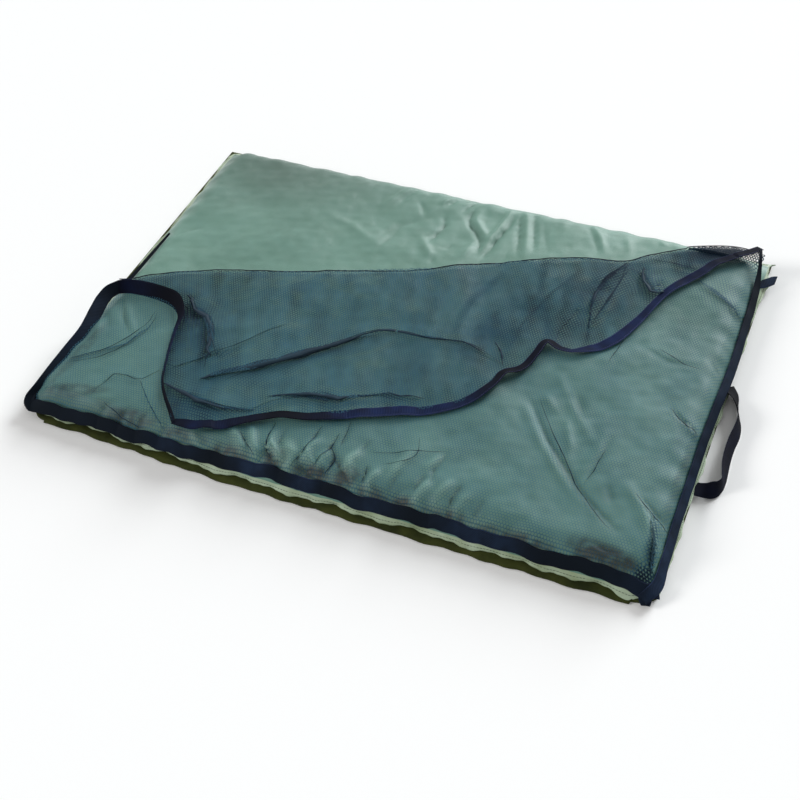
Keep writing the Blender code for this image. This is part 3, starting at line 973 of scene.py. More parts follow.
# Where the net lies bunched: x, y, reach across and along, turn in degrees and extra strand width
panel_dense = (
    (435, 335, 34, 85, 8, 1.6),
    (462, 205, 8, 36, -25, 0.7),
    (480, -302, 9, 44, -80, 1.6),
    (478, -338, 12, 14, 0, 1.6),
    (-430, -235, 6, 60, 35, 0.3),
)
flap_dense = (
    (-322, -105, 26, 36, -20, 1),
    (-285, -160, 16, 36, -70, 0.8),
    (-325, -150, 6, 80, -70, 0.9),
    (435, 320, 40, 85, 22, 1.6),
    (330, 220, 14, 40, -40, 0.7),
    (268, 150, 10, 60, -85, 0.6),
    (150, 40, 48, 95, 62, 0.6),
    (-225, -292, 16, 50, -2, 0.6),
    (-200, -200, 10, 50, 35, 0.7),
    (-120, -128, 9, 60, 38, 0.6),
    (-225, -272, 9, 45, -8, 0.7),
    (-40, -207, 8, 55, 8, 0.6),
    (-292, -185, 42, 90, -12, 0.6),
    (250, 140, 85, 60, -20, 0.5),
)

# Fine creases of the net: extra strand width, half the crease's width and the path
panel_lines = (
    (0.5, 3.5, ((-465, -263), (-443, -250), (-418, -229), (-401, -208), (-392, -184), (-385, -152))),
)
flap_lines = (
    (2.6, 3.6, ((-230, -229), (-195, -196), (-155, -158), (-110, -113), (-60, -72))),
    (1.4, 6, ((-135, -262), (-170, -277), (-215, -290), (-235, -300))),
    (1.6, 4.5, ((-105, -230), (-75, -212), (-45, -203), (-10, -200))),
    (1.6, 5, ((300, 250), (283, 215), (270, 170), (264, 130))),
    (1.4, 5, ((318, 236), (338, 205), (356, 190), (372, 196))),
    (1.2, 3, ((226, 200), (196, 120), (178, 50), (176, -20))),
    (1.6, 5, ((-221, -228), (-179, -190), (-132, -146), (-86, -99), (-36, -58))),
    (1.6, 3, ((-277, -273), (-223, -267), (-173, -269), (-128, -259))),
    (1.4, 3.4, ((-125, -228), (-56, -196), (-9, -193), (19, -172), (91, -167))),
    (1.8, 3, ((291, 246), (264, 184), (268, 123), (282, 47))),
    (1.4, 3, ((291, 246), (319, 211), (349, 173))),
    (0.9, 6, ((166, 192), (180, 125), (214, 62), (229, 8))),
    (0.7, 7, ((109, 157), (83, 66), (86, -7))),
)

# Folds in which the net is pinched or pressed together: width and path
panel_pinched = (
    (1.9, ((255, -97), (290, -148), (340, -214), (372, -254), (402, -281), (424, -296))),
    (1.6, ((366, -224), (369, -192), (374, -160))),
    (1.8, ((435, -222), (451, -236), (466, -249), (495, -259))),
    (1.8, ((438, -50), (451, -64), (470, -74), (488, -78))),
    (1.6, ((391, 64), (418, 51), (438, 44), (458, 44))),
    (1.6, ((335, 68), (331, 41), (328, 8))),
    (1.9, ((-466, -258), (-453, -244), (-423, -221), (-409, -202), (-398, -177), (-390, -147),
        (-388, -116))),
    (1.9, ((-463, -269), (-437, -255), (-412, -238), (-394, -214), (-385, -189), (-380, -158),
        (-384, -119))),
    (1.6, ((-391, -315), (-381, -289), (-373, -267), (-332, -265), (-310, -238))),
    (1.8, ((-330, -268), (-298, -301), (-253, -336))),
    (1.5, ((65, -277), (114, -258), (162, -238))),
    (1.5, ((116, -227), (125, -261), (113, -278), (86, -294))),
    (2.5, ((-365, -319), (-329, -333), (-287, -339))),
    (2.4, ((-95, -271), (-92, -302), (-87, -319), (-72, -332))),
    (1.8, ((-25, -257), (-30, -300), (-36, -321), (-40, -335))),
    (1.8, ((5, -261), (2, -289), (-5, -309), (-9, -325))),
    (2.4, ((4, -288), (16, -304), (13, -325), (11, -335))),
    (1.6, ((-137, -305), (-118, -320), (-100, -335))),
    (1.8, ((67, -303), (69, -328))),
    (1.4, ((11, -233), (13, -258), (16, -281))),
)
flap_pinched = (
    (1.8, ((-307, -243), (-286, -222), (-261, -191), (-243, -171), (-221, -143), (-194, -108),
        (-166, -77))),
    (2.2, ((-237, -230), (-201, -201), (-159, -160), (-100, -102), (-12, -35), (63, -34), (109, -25),
        (181, -48))),
    (2, ((-202, -228), (-151, -176), (-82, -107), (-35, -60))),
    (2.5, ((291, 246), (292, 179), (284, 82))),
    (2.5, ((-359, -66), (-324, -82), (-302, -99), (-281, -127), (-252, -158), (-242, -180))),
    (2.5, ((-281, -161), (-257, -186), (-249, -211))),
)
flap_bands = (
    (21, ((-243, -232), (-205, -206), (-172, -178), (-135, -142), (-95, -104), (-50, -64))),
    (6.5, ((-80, -85), (-12, -38), (63, -36), (109, -27), (150, -40))),
    (9.5, ((-128, -230), (-90, -207), (-50, -198), (-9, -193), (30, -176))),
    (10, ((-290, -262), (-262, -265), (-223, -271), (-178, -270))),
    (11, ((-356, -72), (-326, -85), (-302, -102), (-281, -129), (-262, -162), (-250, -187))),
    (8, ((291, 246), (271, 205), (264, 160), (267, 115))),
    (7, ((318, 238), (336, 207), (355, 190), (374, 196))),
    (4, ((30, -170), (60, -160), (95, -155))),
    (3.5, ((181, -52), (165, -20), (150, -4))),
)

# Pleats: height, reach of the pull and points, each with the width of cloth that lies three deep there
panel_pleats = (
    (1.6, 30, ((-467, -259, 4), (-422, -226, 6), (-394, -202, 6), (-379, -160, 5), (-381, -131, 2))),
    (1.2, 12, ((-392, -308, 1.2), (-378, -267, 2), (-356, -264, 2), (-327, -263, 2), (-307, -233, 1))),
    (1.2, 12, ((-328, -267, 1.2), (-304, -293, 2.4), (-268, -324, 2.6), (-240, -339, 1))),
    (1.2, 12, ((300, -180, 0.6), (320, -202, 2), (340, -224, 2.2), (372, -252, 1.6), (410, -285, 0.5))),
    (1, 10, ((362, -240, 0.6), (369, -205, 1.8), (373, -160, 0.6))),
    (1.2, 12, ((425, -215, 0.6), (448, -235, 2), (470, -251, 2.2), (488, -257, 1.4))),
    (1.2, 12, ((430, -45, 0.6), (459, -66, 2.2), (488, -75, 1.4))),
    (1.8, 34, ((405, 238, 3), (430, 222, 9), (456, 208, 9), (488, 188, 3))),
    (1.4, 20, ((464, -253, 1), (480, -290, 5), (486, -325, 6))),
    (1, 10, ((290, -60, 0.6), (315, -100, 1.6), (330, -125, 0.6))),
    (1.2, 12, ((-100, -335, 0.8), (-70, -305, 2), (-55, -285, 0.8))),
)
flap_pleats = (
    (3, 45, ((-242, -233, 2), (-222, -216, 9), (-185, -188, 14), (-150, -158, 13), (-110, -120, 8),
        (-70, -85, 5), (-12, -40, 3.5), (63, -35, 3), (109, -27, 2.5), (145, -40, 1.5), (181, -52, 0.8))),
    (1.4, 12, ((-325, -230, 1), (-289, -222, 2), (-256, -189, 2), (-227, -160, 2), (-190, -99, 1.6),
        (-167, -72, 0.6))),
    (3.6, 40, ((-348, -88, 5), (-326, -92, 13), (-300, -106, 15), (-278, -132, 14), (-262, -165, 9),
        (-256, -185, 3))),
    (2.6, 30, ((-290, -262, 2), (-262, -266, 10), (-224, -274, 13), (-180, -274, 10), (-134, -262, 3))),
    (1.4, 12, ((-138, -258, 1.2), (-120, -238, 2.2), (-100, -220, 1.2))),
    (2.4, 30, ((-112, -220, 3), (-80, -213, 9), (-40, -208, 11), (0, -186, 7), (40, -164, 4),
        (91, -160, 2))),
    (2.4, 24, ((288, 240, 1), (270, 195, 7), (264, 150, 7), (268, 110, 5), (276, 70, 2))),
    (2, 18, ((300, 236, 1), (293, 195, 4), (288, 130, 3), (280, 80, 1))),
    (3, 34, ((318, 230, 2), (332, 204, 12), (350, 182, 14), (364, 190, 6))),
    (1.6, 14, ((240, 20, 1), (236, 50, 3), (246, 85, 2), (250, 120, 0.8))),
    (2.4, 24, ((300, 262, 1), (345, 262, 6), (385, 262, 8), (402, 254, 4))),
)


def level_curve(table, count):
    """A smooth curve at height 0 through a table's points, whose x and y are in millimetres."""
    fine = curve_points([(*row[:2], 0, *row[2:]) for row in table], count)
    fine[:, :2] /= 1000
    return fine


def sideways(path, tilt=0.0):
    """Unit vectors to the right of a path, turned up by a tilt in radians."""
    tilt = np.broadcast_to(tilt, len(path))[:, None]
    return np.hstack([rightward(path) * np.cos(tilt), np.sin(tilt)])


def fold_line_at(x):
    return np.interp(x, *in_metres(fold_line).T)


def pleated(x, y, pleats):
    """Moves points of the net into its pleats. Returns the new places and the rise."""
    moved_x, moved_y, rise = x.copy(), y.copy(), np.zeros(x.shape)
    for height, reach, points in pleats:
        path, reach = in_metres(points), reach / 1000
        here, signed, share = beside(x, y, path, reach)
        knots = lengths_along(path)
        right_x, right_y, width = (
            np.interp(share, knots / knots[-1], column)
            for column in (*rightward(path).T, np.array(points)[:, 2] / 1000)
        )
        ends = step(share, -0.001, 0.04) * (1 - step(share, 0.96, 1.001))
        width = np.maximum(width * ends, 1e-5)
        away = np.abs(signed)
        fading = np.clip(1 - (away - width / 2) / (reach - width / 2), 0, 1)
        shift = -np.sign(signed) * np.where(away < width / 2, 2 * away / width, fading) * width
        moved_x[here] -= right_x * shift
        moved_y[here] -= right_y * shift
        lifted = step(signed, -width / 2, width / 2) * (1 - step(signed, width, width + reach * 0.7))
        lifted = height / 1000 * ends * lifted * np.clip(width / 0.002, 0, 1)
        rise[here] = np.maximum(rise[here], lifted)
    return moved_x, moved_y, rise


def panel_tones(x, y):
    """Shares of painted shade and of painted highlight on the strands of the sewn panels."""
    dark, highlit = cover_marks(x, y)
    # Painted shade: a darker patch on the right part of the panel
    dark = np.maximum(0.8 * dark, 0.45 * bell(x, y, 0.41, 0.17, 0.07, 0.10))
    # Painted light: a lighter patch toward the near right
    return dark, np.maximum(highlit, 0.42 * bell(x, y, 0.39, -0.25, 0.10, 0.05))


def flap_tones(x, y):
    """Shares of painted shade and of painted highlight on the strands of the flap. The shade is heavier
    toward both ends, and its streaks run along the fold line.
    """
    dark, highlit = cover_marks(x, y)
    along, across = 0.93 * x + 0.37 * y, 0.93 * y - 0.37 * x
    # Painted shade of the layered flap, heavier toward both ends, with streaks along the fold line
    tone = 0.32 + 0.38 * step(x, 0.06, 0.26) + 0.36 * step(-x, 0.21, 0.31)
    tone = tone + drifts(along * 3.5, across, (0.20, 0.11, 61)) + drifts(x, y, (0.12, 0.018, 62))
    return np.maximum(0.2 * dark, tone), 0.25 * highlit


def net_cells(low, high, inside, width, tones, spots, creases):
    """A flat net of six-sided cells whose strands meet in threes. Returns its points, tones and faces."""
    rise, radius = cell_pitch * math.sqrt(3) / 2, cell_pitch / math.sqrt(3)
    start, end = low - net_margin, high + net_margin
    columns = int((end - start) / cell_pitch) + 3
    rows = int(2 * net_reach / rise) + 4
    column, row = np.meshgrid(np.arange(columns), np.arange(rows), indexing="ij")
    odd = row % 2
    x = math.floor(start / cell_pitch) * cell_pitch + (column + 0.5 * odd) * cell_pitch
    y = math.floor(-net_reach / (2 * rise)) * 2 * rise + row * rise
    extra = dense(x, y, spots, creases) / 1000
    extra = np.maximum(extra, fold_line_extra * hump(fold_line_at(x), y, fold_line_reach))
    dark, highlit = tones(x, y)
    # Painted shade of the strands, from bunching and from the cover's shaded hollows, and painted highlight
    # over crease ridges
    marks = {"strand_shade": np.maximum(np.clip(extra / shade_full_width, 0, 1), dark), "crest": highlit}
    half = (width * (1 + 0.10 * drift(x, y, 0.07, 31)) + extra) / math.sqrt(3)

    # Where three strands meet there is a triangle, above and below the middle of each cell
    points, triangles, placed = [], [], []
    for upward, angles in ((1, (270, 30, 150)), (-1, (90, 210, 330))):
        turns = np.radians(angles)
        middle = np.stack([x, y + upward * radius], -1)
        ways = np.stack([np.cos(turns), np.sin(turns)], -1)
        index = 3 * (np.arange(x.size).reshape(x.shape) + x.size * len(points))
        kept = inside(*np.moveaxis(middle, -1, 0))
        points.append((middle[:, :, None] + half[..., None, None] * ways).reshape(-1, 2))
        triangles.append(index[kept][:, None] + np.arange(3))
        placed.append((index, kept))
    (top_index, top_in), (low_index, low_in) = placed

    # Each strand joins the triangle above a cell with the one below a neighbour
    quads = []
    for column_shift, row_shift, (first, second) in ((odd, 1, (0, 1)), (odd - 1, 1, (2, 0)), (0, 2, (1, 2))):
        c, r = column + column_shift, row + row_shift
        valid = (c >= 0) & (c < columns) & (r < rows) & top_in
        c, r = np.clip(c, 0, columns - 1), np.clip(r, 0, rows - 1)
        valid &= low_in[c, r]
        a, b = top_index[valid], low_index[c[valid], r[valid]]
        quads.append(np.stack([a + first, a + second, b + first, b + second], -1))
    marks = {name: np.tile(np.repeat(values.ravel(), 3), 2) for name, values in marks.items()}
    return np.concatenate(points), marks, np.concatenate(quads), np.concatenate(triangles)


def flat_area(points, faces):
    x, y = points[faces, 0], points[faces, 1]
    return float(np.abs(np.sum(x * np.roll(y, -1, 1) - np.roll(x, -1, 1) * y, 1)).sum() / 2)


def net_piece(name, low, high, inside, place, width, tones, spots, creases):
    """A piece of the net between two values of x, put in place. Also returns its flat length, the area that
    was cut and the area of its strands alone."""
    points, marks, quads, triangles = net_cells(
        low,
        high,
        lambda x, y: inside(x, y) & (x > low - cut_overlap) & (x < high + cut_overlap),
        width,
        tones,
        spots,
        creases,
    )
    used, merged = np.unique(np.concatenate([quads.ravel(), triangles.ravel()]), return_inverse=True)
    quads, triangles = merged[: quads.size].reshape(-1, 4), merged[quads.size :].reshape(-1, 3)
    flat = points[used]
    made = mesh_of(name, np.stack(place(*flat.T), -1), [quads, triangles], strands)
    store(made, **{kind: values[used] for kind, values in marks.items()})
    corners = np.empty(len(made.data.loops), np.int32)
    made.data.loops.foreach_get("vertex_index", corners)
    least, most = flat.min(0), flat.max(0)
    spread = (flat - least) / (most - least) * 0.98 + 0.01
    layer = made.data.uv_layers.new(name="OFBake")
    layer.uv.foreach_set("vector", spread[corners].astype(np.float32).ravel())
    cut_area = len(quads) / 3 * cell_pitch**2 * math.sqrt(3) / 2
    return made, (float(most[1] - least[1]), cut_area, flat_area(flat, quads) + flat_area(flat, triangles))


# Metres of a pinched fold's half width for each millimetre that its table gives
pinched_scale = 1 / 2800
pinched_lift, band_lift = 0.0006, 0.0012


def pinched_folds(name, rows, place, low, high, lift):
    """Narrow folds of the net between two values of x, as one solid with a four-sided section."""
    points, quads, count = [], [], 0
    side = np.arange(4)
    around = np.stack([side, (side + 1) % 4, (side + 1) % 4 + 4, side + 4], -1)
    for wide, path in rows:
        fine = level_curve(path, 70)
        share = np.linspace(0, 1, len(fine))
        wander = 0.0006 * np.sin(share * 9 + len(path) + fine[0, 0] * 40)
        x, y, z = place(fine[:, 0] + wander, fine[:, 1] - wander)
        middle = np.stack([x, y, z + lift], -1)
        fade = np.sin(math.pi * (0.02 + 0.96 * share)) ** 0.7
        half = (wide * pinched_scale * fade * (1 + 0.25 * np.sin(share * 23)))[:, None]
        left, up = -sideways(middle) * half, (0, 0, 1) * np.minimum(half * 0.5, 0.0006)
        ring = np.stack([middle + left, middle + up, middle - left, middle - up], 1)
        ring = ring[(fine[:, 0] >= low) & (fine[:, 0] < high)]
        if len(ring) < 3:
            continue
        last = count + 4 * (len(ring) - 1)
        starts = np.arange(count, last, 4)
        quads += [starts[:, None] + corners for corners in around]
        quads += [(count + side[[0, 3, 2, 1]])[None], (last + side)[None]]
        points.append(ring.reshape(-1, 3))
        count = last + 4
    made = mesh_of(name, np.concatenate(points), [np.concatenate(quads)], pinched_net)
    return made


# The net's sewn panels
net_clearance, top_slack, slope_slack = 0.0009, 0.0016, 0.0028
fold_line_rise = 0.0012
right_reach, fold_line_overlap = 0.0045, 0.0005


def slope_lift(out):
    """Clearance of the net over the cover, least at the tapes."""
    on_top = top_slack * (1 - step(out, -0.03, 0.004))
    on_slope = slope_slack * step(out, -0.004, 0.006) * (1 - step(out, 0.010, 0.019))
    return net_clearance + on_top + on_slope


def far_drop(y):
    """How far the net has sunk where it hangs over the far edge."""
    return far_sinking * np.maximum(y - half_width + 0.01, 0)


def panel_place(x, y):
    moved_x, moved_y, rise = pleated(x, y, panel_pleats)
    out = beyond(moved_x, moved_y)
    loose = drifts(moved_x, moved_y, (0.0008, 0.09, 11), (0.0005, 0.04, 12))
    z = cover_height(moved_x, moved_y) + slope_lift(out)
    z = z + (1 - step(out, -0.02, 0.0)) * np.maximum(loose + 0.0006, -0.0004)
    far = step(y, half_width - 0.02, half_width + 0.004) * step(x, 0.2, 0.3)
    z = z * (1 - far) + far * (mat_height + panel_far_lift - far_drop(y))
    return moved_x, moved_y, z + rise + fold_line_rise * step(fold_line_at(x) - y, 0.012, 0)


def on_panel(x, y):
    square = np.maximum(np.abs(x) - half_length - right_reach * (x > 0), np.abs(y) - half_width)
    return (square < net_edge) & (y < fold_line_at(x) + fold_line_overlap)


panel_cuts = (-0.50, -0.14, 0.20, 0.50)
panel_kind = on_panel, panel_place, panel_strand, panel_tones, panel_dense, panel_lines
panel_pieces = [
    net_piece(f"net_panel_{number}", low, high, *panel_kind)
    for number, low, high in zip((1, 2, 3), panel_cuts, panel_cuts[1:])
]
for piece, _ in panel_pieces:
    across_fold(piece)
across_fold(pinched_folds("net_panel_folds", panel_pinched, panel_place, -0.50, 0.50, pinched_lift))
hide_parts("net_panel_left")
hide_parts("net_panel_right")

# Tapes: how far the mouth tape sinks into the flap, and how far the bindings lie over the cover
mouth_sinking, binding_lift = 0.0014, 0.0022
mouth_half_thickness, binding_half_thickness = 0.0007, 0.0008
near_width, right_width = 0.0208, 0.0172

# Mouth tape on the flap: x, y, width, tilt in degrees, by which the outer edge is up, lift and share of
# painted light
mouth_left = (
    (-238, -325.6, 13, 10, 1.6, 0.1),
    (-222, -323.5, 17, 4, 2.4, 0.2),
    (-205, -321.5, 19, 2, 2, 0.55),
    (-188, -315, 18, 8, 3.2, 0.25),
    (-172, -307, 19, 2, 2, 0.5),
    (-138, -284, 18, 10, 3.2, 0.2),
    (-100, -262, 17, 10, 3.4, 0),
    (-62, -253, 17, 8, 3, 0.05),
    (-30, -241, 18, 6, 2, 0.35),
    (0, -224.5, 19, 6, 2, 0.85),
)
mouth_right = (
    (0, -224.5, 19, 6, 2, 0.85),
    (36, -207, 20, 6, 2, 1),
    (72, -190, 20, 4, 1.8, 1),
    (110, -173, 18, 2, 1.6, 1),
    (142, -152, 17, 4, 1.6, 0.8),
    (166, -126, 17, 10, 2.4, 0.5),
    (180, -98, 18, 22, 4, 0.1),
    (188, -66, 19, 26, 4.4, 0),
    (206, -50, 16, 14, 3, 0.05),
    (219, -14, 15, 20, 3.4, 0.1),
    (229, 19, 15, 24, 4.2, 0.05),
    (246, 13, 14, 18, 2.8, 0.15),
    (268, 12, 14, 24, 2.2, 0.6),
    (296, 30, 18, 8, 1.8, 1),
    (320, 58, 19, 4, 1.8, 1),
    (337, 96, 17, 6, 2, 1),
    (351, 136, 15, 14, 3, 0.9),
    (366, 184, 15, 16, 3.6, 0.9),
    (388, 222, 17, 6, 3, 0.9),
    (410, 253, 17, 6, 4, 0.6),
    (424, 280, 17, 10, 5.5, 0.3),
    (446, 302, 17, 14, 6.5, 0.15),
    (468, 324, 17, 14, 6, 0.1),
    (483, 343, 16, 14, 4, 0.1),
)
# Standing tapes: x, y and z of the middle, half the width as a vector, and share of painted light
left_tape = (
    (-478, -350, 13, -9, -5, 3, 0),
    (-486, -345, 17, -9.7, -5, 3.6, 0),
    (-491.5, -330, 23, -9.5, -6.5, 3.4, 0),
    (-486.6, -312.5, 30, -7.5, -5.4, 6.2, 0.1),
    (-482.7, -275.6, 37, -7, -3.6, 7.2, 0.25),
    (-479.2, -235.2, 42, -7.5, -2.2, 7.2, 0.35),
    (-476.5, -196, 46, -7.2, -1.8, 8, 0.4),
    (-481.2, -150.9, 51, -8.6, -0.8, 7.5, 0.35),
    (-483.7, -125.8, 54, -8.2, -0.3, 7.2, 0.25),
    (-481.5, -108.3, 56, -6.8, 3.5, 8, 0.1),
    (-472.7, -94.2, 57, -3, 6.8, 8.4, 0.05),
)
short_tape = (
    (-472.7, -94.2, 57, -3, 6.8, 8.4, 0.05),
    (-460.5, -87.8, 57, -2.4, 7.2, 8.6, 0.3),
    (-439.3, -83.6, 56.8, -0.6, 8.2, 8.6, 0.35),
    (-414, -83.1, 56.5, -0.1, 8.5, 9, 0.1),
    (-388.6, -84.7, 56, 1.1, 9, 9.2, 0),
    (-370.1, -88.9, 55.8, 1.6, 9.2, 9.4, 0),
    (-354.3, -99.8, 55.6, 3.5, 7.5, 8.4, 0),
    (-342.2, -117, 55, 6.2, 2.1, 6.4, 0.1),
    (-333.3, -151.1, 54.5, 4.8, -0.9, 4.6, 0.5),
    (-321.2, -190.5, 54, 4, -1, 4.6, 0.5),
    (-308.8, -225.4, 53.8, 3.6, -1.5, 4.4, 0.4),
    (-297.1, -254.1, 53.5, 3.6, -1.6, 4.2, 0.1),
    (-275.7, -283.5, 53, 4.2, -1.8, 4.2, 0),
    (-253.4, -307.1, 52.8, 4.8, -1.4, 4.2, 0),
    (-237, -325.6, 52.8, 4.8, -1.1, 4, 0.1),
)


# The flap rises at a place near its left end: x, y, reach along x and y, and height in metres
left_hill = (-0.40, -0.066, 0.075, 0.022, 0.0038)


def flap_base(x, y):
    """Height of the flap where it lies plain."""
    hill_x, hill_y, reach_x, reach_y, hill_height = left_hill
    plain, creases = cover_parts(x, y)
    z = plain + 0.5 * creases + flap_lift + drifts(x, y, (0.0008, 0.11, 21), (0.0004, 0.05, 22))
    z = np.where(beyond(x, y) > -0.012, np.maximum(z, mat_height + flap_far_lift - far_drop(y)), z)
    away = ((x - hill_x) / reach_x) ** 2 + ((y - hill_y) / reach_y) ** 2
    return z + hill_height * np.exp(-(away**2))


def tape_frame(table, count):
    """Middle points, half-width vectors and shares of painted light of a tape that lies on the flap."""
    fine = level_curve(table, count)
    x, y, _, width, tilt, lift, face = fine.T
    z = flap_base(x, y) - mouth_sinking + lift / 1000 + 0.0006 * np.sin(x * 90 + y * 60)
    across = sideways(fine, np.radians(tilt)) * (width / 2000)[:, None]
    return np.stack([x, y, z], -1), across, np.clip(face, 0, 1)


def standing_frame(table, count):
    """Middle points, half-width vectors and shares of painted light of a tape that stands clear of the cover.
    """
    fine = curve_points(table, count)
    return fine[:, :3] / 1000, fine[:, 3:6] / 1000, np.clip(fine[:, 6], 0, 1)


# The flap's net ends at its tapes and at the fold line
tape_rows = short_tape[:-1] + mouth_left[:-1] + mouth_right
outline = level_curve([row[:2] for row in tape_rows], 420)[:, :2]
fold_edge = level_curve(fold_line, 300)[:, :2]
left_end = -0.478
flap_polygon = np.concatenate([outline, fold_edge[fold_edge[:, 0] > left_end][::-1]])


def on_flap_net(x, y):
    """Whether places lie inside the flap's outline."""
    inside = np.zeros(np.shape(x), bool)
    for (x1, y1), (x2, y2) in zip(np.roll(flap_polygon, 1, axis=0), flap_polygon):
        if y1 != y2:
            crossed = (y1 > y) != (y2 > y)
            inside ^= crossed & (x < (x2 - x1) * (y - y1) / (y2 - y1) + x1)
    return inside


def flap_place(x, y):
    moved_x, moved_y, rise = pleated(x, y, flap_pleats)
    turn = 1 - step(fold_line_at(x) - y, 0, 0.02)
    return moved_x, moved_y, flap_base(moved_x, moved_y) - flap_turn_depth * turn**2 + rise


flap_sides = (("left", -0.50, 0.0), ("right", 0.0, 0.50))
flap_kind = on_flap_net, flap_place, flap_strand, flap_tones, flap_dense, flap_lines
flap_pieces = [net_piece(f"flap_net_{word}", low, high, *flap_kind) for word, low, high in flap_sides]

# The doubled edge along the fold line
hem_reach, hem_half, hem_half_thickness, hem_sinking = 0.487, 0.0009, 0.0005, 0.0018
hem_path = fold_edge[np.abs(fold_edge[:, 0]) < hem_reach]
hem_points = np.column_stack([hem_path, flap_base(*hem_path.T) - hem_sinking])
hem = strip("net_fold_edge", hem_points, -sideways(hem_path) * hem_half, thread, hem_half_thickness)
across_fold(hem)


def on_flap(made, word):
    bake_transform(made)


for (piece, _), (word, _, _) in zip(flap_pieces, flap_sides):
    on_flap(piece, word)
for kind, rows, lift in (("folds", flap_pinched, pinched_lift), ("bands", flap_bands, band_lift)):
    for word, low, high in flap_sides:
        on_flap(pinched_folds(f"net_flap_{kind}_{word}", rows, flap_place, low, high, lift), word)
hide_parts("net_flap_left")
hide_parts("net_flap_right")


# Stitches: length, distance from one to the next and radius of the thread
tape_stitch, seam_stitch = (0.0026, 0.0038, 0.00026), (0.0032, 0.0046, 0.0003)
stitched_share, stitch_lift = 0.84, 0.0001


def add_tape(name, frame_of_tape, finish, sewn_with, half_thickness, held, *nodes):
    """A tape with a row of stitches along each edge. held says what puts a piece on its body."""
    path, across, face = frame_of_tape
    made = strip(name, path, across, finish, half_thickness, face)
    up = unit(np.cross(across, np.gradient(path, axis=0)))
    up *= np.sign(up[:, 2:3] + 1e-9)
    lifted = path + up * (half_thickness + stitch_lift)
    rows = [(lifted + across * share, up) for share in (-stitched_share, stitched_share)]
    sewn = stitches(f"{name}_stitches", rows, sewn_with, *tape_stitch)
    hold, *body = held
    for piece in (made, sewn):
        hold(piece, *body)
    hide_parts(*nodes)


for name, frame_of_tape, sewn_with, word, old_node in (
    ("mouth_tape_short", standing_frame(short_tape, 200), thread, "left", "mouth_tape_side"),
    ("mouth_tape_near", tape_frame(mouth_left, 130), thread, "left", "mouth_tape_left"),
    ("mouth_tape_far", tape_frame(mouth_right, 330), pale_thread, "right", "mouth_tape_right"),
):
    add_tape(name, frame_of_tape, mouth_navy, sewn_with, mouth_half_thickness, (on_flap, word), old_node)


# Binding tapes on the sloping sides: x, y and lift in millimetres, and share of painted light
near_tape = (
    (-496.5, -330, 0.8, 0),
    (-490, -342, 0.6, 0),
    (-470, -346.05, 0.2, 0),
    (-400, -346.05, 0.3, 0.1),
    (-295, -347.95, 0.2, 0.1),
    (-235, -348.75, 0.6, 0.5),
    (-150, -347.95, 0.2, 0),
    (-90, -346.55, 0.7, 1),
    (-55, -346.55, 0.5, 0.1),
    (-15, -346.55, 0.7, 0.9),
    (15, -346.35, 0.6, 0.1),
    (80, -348.15, 0.2, 0.6),
    (160, -346.75, 0.7, 0),
    (235, -347.55, 0.2, 0.8),
    (290, -347.55, 0.2, 0.6),
    (330, -348.55, 0.6, 0.1),
    (400, -347.15, 0.2, 0),
    (455, -347.55, 0.2, 0.2),
    (485, -351.55, 0.6, 0.5),
    (503, -344.5, 1, 0.4),
)
right_tape = (
    (486, -363, 2.6, 0.4),
    (496.5, -347, 3.2, 0.9),
    (499, -300, 4, 1),
    (497.5, -240, 4.4, 0.8),
    (496.8, -150, 4.2, 0.7),
    (496.2, -80, 4.2, 0.4),
    (497.5, 0, 4.4, 0.5),
    (500, 90, 4.6, 0.6),
    (498.5, 180, 4.2, 0.2),
    (496.5, 255, 4.6, 0),
    (495, 280, 8, 0),
    (492.5, 300, 16, 0),
    (488.5, 318, 27, 0),
    (485, 332, 34, 0),
)


narrowing, narrow_from, narrow_to = 0.60, 0.265, 0.318


def slope_frame(table, count, width, reach, waves):
    """Middle points, half-width vectors and shares of painted light of a tape that lies along the slope. It
    wanders in waves, and grows narrow toward the far corner. The slope is measured over the reach on both
    sides."""
    fine = level_curve(table, count)
    run = fine[:, 0]
    fine[:, 1] += waves * (np.sin(run * 67 + 0.4) + 0.7 * np.sin(run * 149 + 1.3 * np.sin(run * 31)))
    x, y, _, lift, face = fine.T
    out_x, out_y = (rightward(fine) * reach).T
    drop = cover_height(x + out_x, y + out_y) - cover_height(x - out_x, y - out_y)
    drop = np.convolve(np.pad(drop, 4, "edge"), np.ones(9) / 9, "valid")
    half = width / 2 * (1 - narrowing * step(y, narrow_from, narrow_to))
    across = unit(np.stack([2 * out_x, 2 * out_y, drop], -1)) * half[:, None]
    return on_cover(x, y, binding_lift + lift / 1000), across, np.clip(face, 0, 1)


near_frame = slope_frame(near_tape, 420, near_width, 0.0025, 0.0009)
right_frame = slope_frame(right_tape, 300, right_width, 0.0080, 0)
for name, frame_of_tape, held, *nodes in (
    ("near_binding", near_frame, (across_fold,), "near_tape_right", "near_tape_left"),
    ("right_binding", right_frame, (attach, "right_half"), "side_tape_right"),
    ("left_binding", standing_frame(left_tape, 180), (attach, "left_half"), "side_tape_left"),
):
    add_tape(name, frame_of_tape, navy_tape, thread, binding_half_thickness, held, *nodes)


